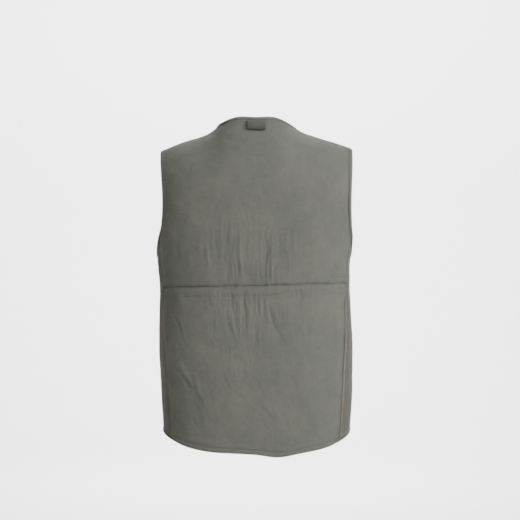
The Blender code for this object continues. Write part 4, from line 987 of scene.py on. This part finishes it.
def neck_line():
    """Line round the neck, on its band."""
    def on_rim(p):
        return abs(p.x) < NECK_HALF_WIDTH and p.z > NECK_LOW_Z and abs(p.y) < NECK_HALF_DEPTH

    rim = [p for name in (PANELS[0], *PANELS[2:]) for p in rim_points(name, on_rim)]
    rim.sort(key=lambda p: math.atan2(p.x, -(p.y - NECK_CENTRE.y)))
    line = []
    for p in rim:
        away = Vector((p.x, p.y - NECK_CENTRE.y, -abs(p.y) * NECK_FALL)).normalized()
        line.append(p + away * BAND_STITCH)
    return line


def front_lines(side, word):
    """Lines on a front, beside the zip and beside the side seam."""
    def by_zip(p):
        return abs(p.x) < ZIP_EDGE_X and p.y < 0 and p.z < ZIP_STITCH_TOP_Z

    def by_seam(low, high):
        return lambda p: p.x * side > SIDE_X and p.y < SIDE_Y and low < p.z < high

    zip_edge = rim_points(word + "_front_cloth", by_zip)
    seam = rim_points("lower_back_cloth", by_seam(SIDE_LOW_Z, math.inf))
    seam += rim_points("upper_back_cloth", by_seam(SIDE_WAIST_Z, SIDE_TOP_Z))
    for line in (zip_edge, seam):
        line.sort(key=lambda p: p.z)
    return [[p + Vector((side * ZIP_STITCH, 0, 0)) for p in zip_edge],
            [p + Vector((side * SIDE_STITCH_ASIDE, SIDE_STITCH_AHEAD, 0)) for p in seam]]


def strip_lines(side, word):
    """Lines down a side strip, inside each of its long edges."""
    places = [vert.co for vert in bpy.data.objects[word + "_side_strip"].data.vertices]
    lines = []
    for inset in STRIP_INSETS:
        line = []
        for n in range(STRIP_POINTS + 1):
            z = STRIP_LOW_Z + (STRIP_HIGH_Z - STRIP_LOW_Z) * n / STRIP_POINTS
            level = [p for p in places if abs(p.z - z) < STRIP_SLICE]
            if not level:
                continue
            outer = max(level, key=lambda p: p.x * side)
            inner = min(level, key=lambda p: p.x * side)
            point = outer.lerp(inner, inset / max((outer - inner).length, STRIP_WIDTH))
            line.append(Vector((point.x, point.y, z)))
        lines.append(line)
    return lines


# Operators

class VEST_OT_panels(bpy.types.Operator):
    """Makes the four cloth panels and their creases"""

    bl_idname = "vest.panels"
    bl_label = "Cloth panels"

    def execute(self, context):
        cloth = context.scene.vest_cloth
        back = brushed_cotton("brushed_cotton_back", cloth.cloth)
        # The fronts get a darker copy of the cloth as painted shade.
        shaded_front_cotton = brushed_cotton("shaded_brushed_cotton_front", cloth.front)
        panel("upper_back_cloth", "back_upper", UPPER_CREASES, back, cloth)
        panel("lower_back_cloth", "back_lower", LOWER_CREASES, back, cloth)
        panel("left_front_cloth", "front_left", FRONT_CREASES, shaded_front_cotton, cloth)
        panel("right_front_cloth", "front_right", FRONT_CREASES, shaded_front_cotton, cloth)
        return {"FINISHED"}


class VEST_OT_bands(bpy.types.Operator):
    """Makes the folded bands, the side strips and the hanger loop"""

    bl_idname = "vest.bands"
    bl_label = "Bands, strips and loop"

    def execute(self, context):
        cloth = context.scene.vest_cloth
        band = brushed_cotton("band_cotton", cloth.band, math.radians(45))
        strip = brushed_cotton("strip_cotton", cloth.welt)
        # The loop gets a darker copy of the cloth as painted shade.
        loop = brushed_cotton("shaded_loop_cotton", cloth.loop)
        for name, node_name, slot, finish, levels, width, length in (
            ("neck_edge_band", "neck_band", "band", band, 1, 0.0225, 0.62),
            ("left_armhole_edge_band", "armhole_band_left", "band", band, 1, 0.0225, 0.575),
            ("right_armhole_edge_band", "armhole_band_right", "band", band, 1, 0.0225, 0.58),
            ("left_side_strip", "side_welt_left", "welt", strip, 1, 0.0105, 0.29),
            ("right_side_strip", "side_welt_right", "welt", strip, 1, 0.0105, 0.29),
            ("hanging_loop", "hanger_loop", "band", loop, 2, 0.036, 0.070),
        ):
            made = soft_copy(name, node_name, finish, levels)
            finish_piece(made, node_name)
        return {"FINISHED"}


class VEST_OT_stitching(bpy.types.Operator):
    """Lays the rows of stitches on the finished cloth"""

    bl_idname = "vest.stitching"
    bl_label = "Stitching"

    def execute(self, context):
        stitch = context.scene.vest_stitch
        thread = thread_material("cotton_thread", stitch.thread)
        cloth = surface_of(*PANELS)
        stitch_line("waist_stitching", [across_back(lambda x: -SEAM_STITCH), across_back(casing_depth)],
                    cloth, thread, stitch)
        stitch_line("hem_stitching", [hem_line()], cloth, thread, stitch)
        bands = surface_of("neck_edge_band", "left_armhole_edge_band", "right_armhole_edge_band")
        for side, word in ((1, "left"), (-1, "right")):
            stitch_line(word + "_armhole_stitching", [armhole_line(side, word)], bands, thread, stitch)
            stitch_line(word + "_front_stitching", front_lines(side, word), cloth, thread, stitch)
            stitch_line(word + "_strip_stitching", strip_lines(side, word), surface_of(word + "_side_strip"),
                        thread, stitch)
        stitch_line("neck_stitching", [neck_line()], bands, thread, stitch,
                    lambda p: Vector((p.x * 0.5, p.y * 1.2, 0.10)).normalized())
        return {"FINISHED"}


class VEST_OT_walls(bpy.types.Operator):
    bl_idname = "vest.walls"
    bl_label = "Cloth walls"

    def execute(self, context):
        thickness = context.scene.vest_cloth.thickness
        for name, node_name, width, length, area in (
            ("upper_back_cloth", "back_upper", 0.49, 0.40, 0.176),
            ("lower_back_cloth", "back_lower", 0.48, 0.38, 0.164),
            ("left_front_cloth", "front_left", 0.36, 0.74, 0.209),
            ("right_front_cloth", "front_right", 0.36, 0.74, 0.208),
        ):
            made = give_wall(bpy.data.objects[name], thickness)
            finish_piece(made, node_name)
        return {"FINISHED"}


class VEST_OT_zip(bpy.types.Operator):
    """Makes the tapes, the teeth, the slider, its pull and the box"""

    bl_idname = "vest.zip"
    bl_label = "Front zip"

    def execute(self, context):
        zip_sizes = context.scene.vest_zip
        tape = woven_tape("zip_tape_weave", zip_sizes.tape)
        metal = dark_metal("zip_metal", zip_sizes.metal)
        for side in ("left", "right"):
            made = new_object(side + "_tape", merged("zip_tape_" + side), tape)
            with_modifiers(made, ("BEVEL", {"width": TAPE_BEVEL, "segments": 2}))
            finish_piece(made, "zip_tape_" + side)
        core = [vert.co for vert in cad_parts["zip_chain"].data.vertices]
        front = sorted({(round(p.z, 5), round(min(q.y for q in core if abs(q.z - p.z) < LEVEL_REACH), 5))
                        for p in core})
        levels = []
        for z, y in front:
            if not levels or z - levels[-1][0] > LEVEL_STEP:
                levels.append((z, y))

        def depth_at(z):
            for (z0, y0), (z1, y1) in zip(levels, levels[1:]):
                if z <= z1:
                    return y0 + (y1 - y0) * (z - z0) / (z1 - z0)
            return levels[-1][1]

        def one_tooth(bm, matrix):
            made = bmesh.ops.create_cube(bm, size=1.0, matrix=matrix)
            edges = list({edge for vert in made["verts"] for edge in vert.link_edges})
            bmesh.ops.bevel(bm, geom=edges, offset=TOOTH_BEVEL, segments=1, profile=0.5, affect="EDGES",
                            material=-1)

        z, side, matrices = levels[0][0] + CHAIN_START, 1, []
        while z < levels[-1][0] - CHAIN_END:
            size = Matrix.Diagonal((TOOTH_WIDTH, TOOTH_DEPTH, zip_sizes.pitch * TOOTH_SHARE, 1.0))
            matrices.append(Matrix.Translation((side * TOOTH_ASIDE, depth_at(z) + TOOTH_BACK, z)) @ size)
            z += zip_sizes.pitch / 2
            side = -side
        teeth = new_object("zip_teeth", stamped(matrices, one_tooth), metal)
        finish_piece(teeth, "zip_chain")
        for name, node_name, body in (
            ("zip_slider_body", "zip_slider", BODY),
            ("zip_foot_box", "zip_box", BODY),
            ("pull_tab", "zip_pull", PULL_BODY),
        ):
            bm = merged(node_name)
            bmesh.ops.dissolve_limit(bm, angle_limit=math.radians(2), verts=bm.verts[:], edges=bm.edges[:])
            made = new_object(name, bm, metal)
            with_modifiers(made, ("BEVEL", {"width": METAL_BEVEL, "segments": 3, "limit_method": "ANGLE",
                                            "harden_normals": False}))
            finish_piece(made, node_name, body)
        return {"FINISHED"}


class VEST_OT_stage(bpy.types.Operator):
    """Makes the floor, the lights and the camera"""

    bl_idname = "vest.stage"
    bl_label = "Stage"

    def execute(self, context):
        stage = context.scene.vest_stage
        paper, tree, shader = new_material("stage_paper")
        place = node(tree, "ShaderNodeTexCoord")
        apart = node(tree, "ShaderNodeSeparateXYZ")
        link(tree, place, "Object", apart, "Vector")
        aside = node(tree, "ShaderNodeMapRange", From_Min=SHADE_START_X, From_Max=SHADE_END_X)
        link(tree, apart, "X", aside, "Value")
        shade = mix_by(tree, aside, "Result", (0.62, 0.62, 0.617), (0.10, 0.10, 0.099))
        link(tree, shade, "Color", shader, "Base Color")
        put(shader, Roughness=0.95, Specular_IOR_Level=0.0)
        grain = node(tree, "ShaderNodeTexNoise", Scale=40.0)
        raise_by(tree, grain, shader, Strength=0.02)
        bm = bmesh.new()
        flat = ROOM_REACH - ROOM_CORNER
        run = [bm.verts.new((0.01, 0, stage.floor_z)), bm.verts.new((flat, 0, stage.floor_z))]
        for n in range(1, 13):
            turn = math.pi / 2 * n / 12
            run.append(bm.verts.new((flat + ROOM_CORNER * math.sin(turn), 0,
                                     stage.floor_z + ROOM_CORNER * (1 - math.cos(turn)))))
        run.append(bm.verts.new((ROOM_REACH, 0, stage.floor_z + ROOM_RISE)))
        edges = [bm.edges.new(pair) for pair in zip(run, run[1:])]
        bmesh.ops.spin(bm, geom=run + edges, cent=(0, 0, 0), axis=(0, 0, 1), angle=math.tau, steps=72,
                       use_merge=True, use_duplicate=False)
        bmesh.ops.recalc_face_normals(bm, faces=bm.faces[:])
        bmesh.ops.reverse_faces(bm, faces=bm.faces[:])
        bmesh.ops.holes_fill(bm, edges=bm.edges[:], sides=100)
        floor = new_object("floor", bm, paper)

        world = bpy.data.worlds.new("studio")
        world.use_nodes = True
        put(world.node_tree.nodes["Background"], Color=(1.0, 1.0, 1.0, 1.0), Strength=stage.sky)
        context.scene.world = world

        for name, place, aim, size, power in (
            ("key", (-2.5, 2.5, 0.9), AIM, 1.4, stage.key),
            ("fill", (1.4, 1.6, 1.6), AIM, 2.2, stage.fill),
            ("front_fill", (0.6, -3.0, 0.6), AIM, 2.2, stage.fill * 2),
            ("backdrop_light", (0, -1.6, 2.4), (0, -5.0, 0.9), 2.4, stage.backdrop),
        ):
            light = bpy.data.lights.new(name, "AREA")
            light.shape, light.size, light.energy = "DISK", size, power
            made = bpy.data.objects.new(name, light)
            made.location = place
            made.rotation_euler = (Vector(aim) - Vector(place)).to_track_quat("-Z", "Y").to_euler()
            context.scene.collection.objects.link(made)

        view = bpy.data.cameras.new("camera")
        view.lens = LENS
        view.sensor_width = SENSOR
        camera = bpy.data.objects.new("camera", view)
        camera.location = (CAMERA_X, stage.camera_y, CAMERA_Z)
        camera.rotation_euler = (math.radians(90), 0, math.radians(180))
        context.scene.collection.objects.link(camera)
        context.scene.camera = camera
        return {"FINISHED"}


class VEST_PT_panel(bpy.types.Panel):
    bl_label = "Vest"
    bl_space_type = "VIEW_3D"
    bl_region_type = "UI"
    bl_category = "Vest"

    def draw(self, context):
        for kind in OPERATORS:
            self.layout.operator(kind.bl_idname)
        for name, kind in SETTINGS.items():
            settings = getattr(context.scene, name)
            for key in kind.__annotations__:
                self.layout.prop(settings, key)


SETTINGS = {"vest_cloth": VestCloth, "vest_stitch": VestStitch, "vest_zip": VestZip, "vest_stage": VestStage}
OPERATORS = (VEST_OT_panels, VEST_OT_bands, VEST_OT_stitching, VEST_OT_walls, VEST_OT_zip, VEST_OT_stage)


def register():
    for kind in (*SETTINGS.values(), *OPERATORS, VEST_PT_panel):
        bpy.utils.register_class(kind)
    for name, kind in SETTINGS.items():
        setattr(bpy.types.Scene, name, bpy.props.PointerProperty(type=kind))


def unregister():
    for name in SETTINGS:
        delattr(bpy.types.Scene, name)
    for kind in (VEST_PT_panel, *OPERATORS[::-1], *tuple(SETTINGS.values())[::-1]):
        bpy.utils.unregister_class(kind)


def main():
    register()
    bpy.ops.vest.panels()
    bpy.ops.vest.bands()
    bpy.ops.vest.stitching()
    bpy.ops.vest.walls()
    bpy.ops.vest.zip()
    bpy.ops.vest.stage()


if __name__ == "__main__":
    main()
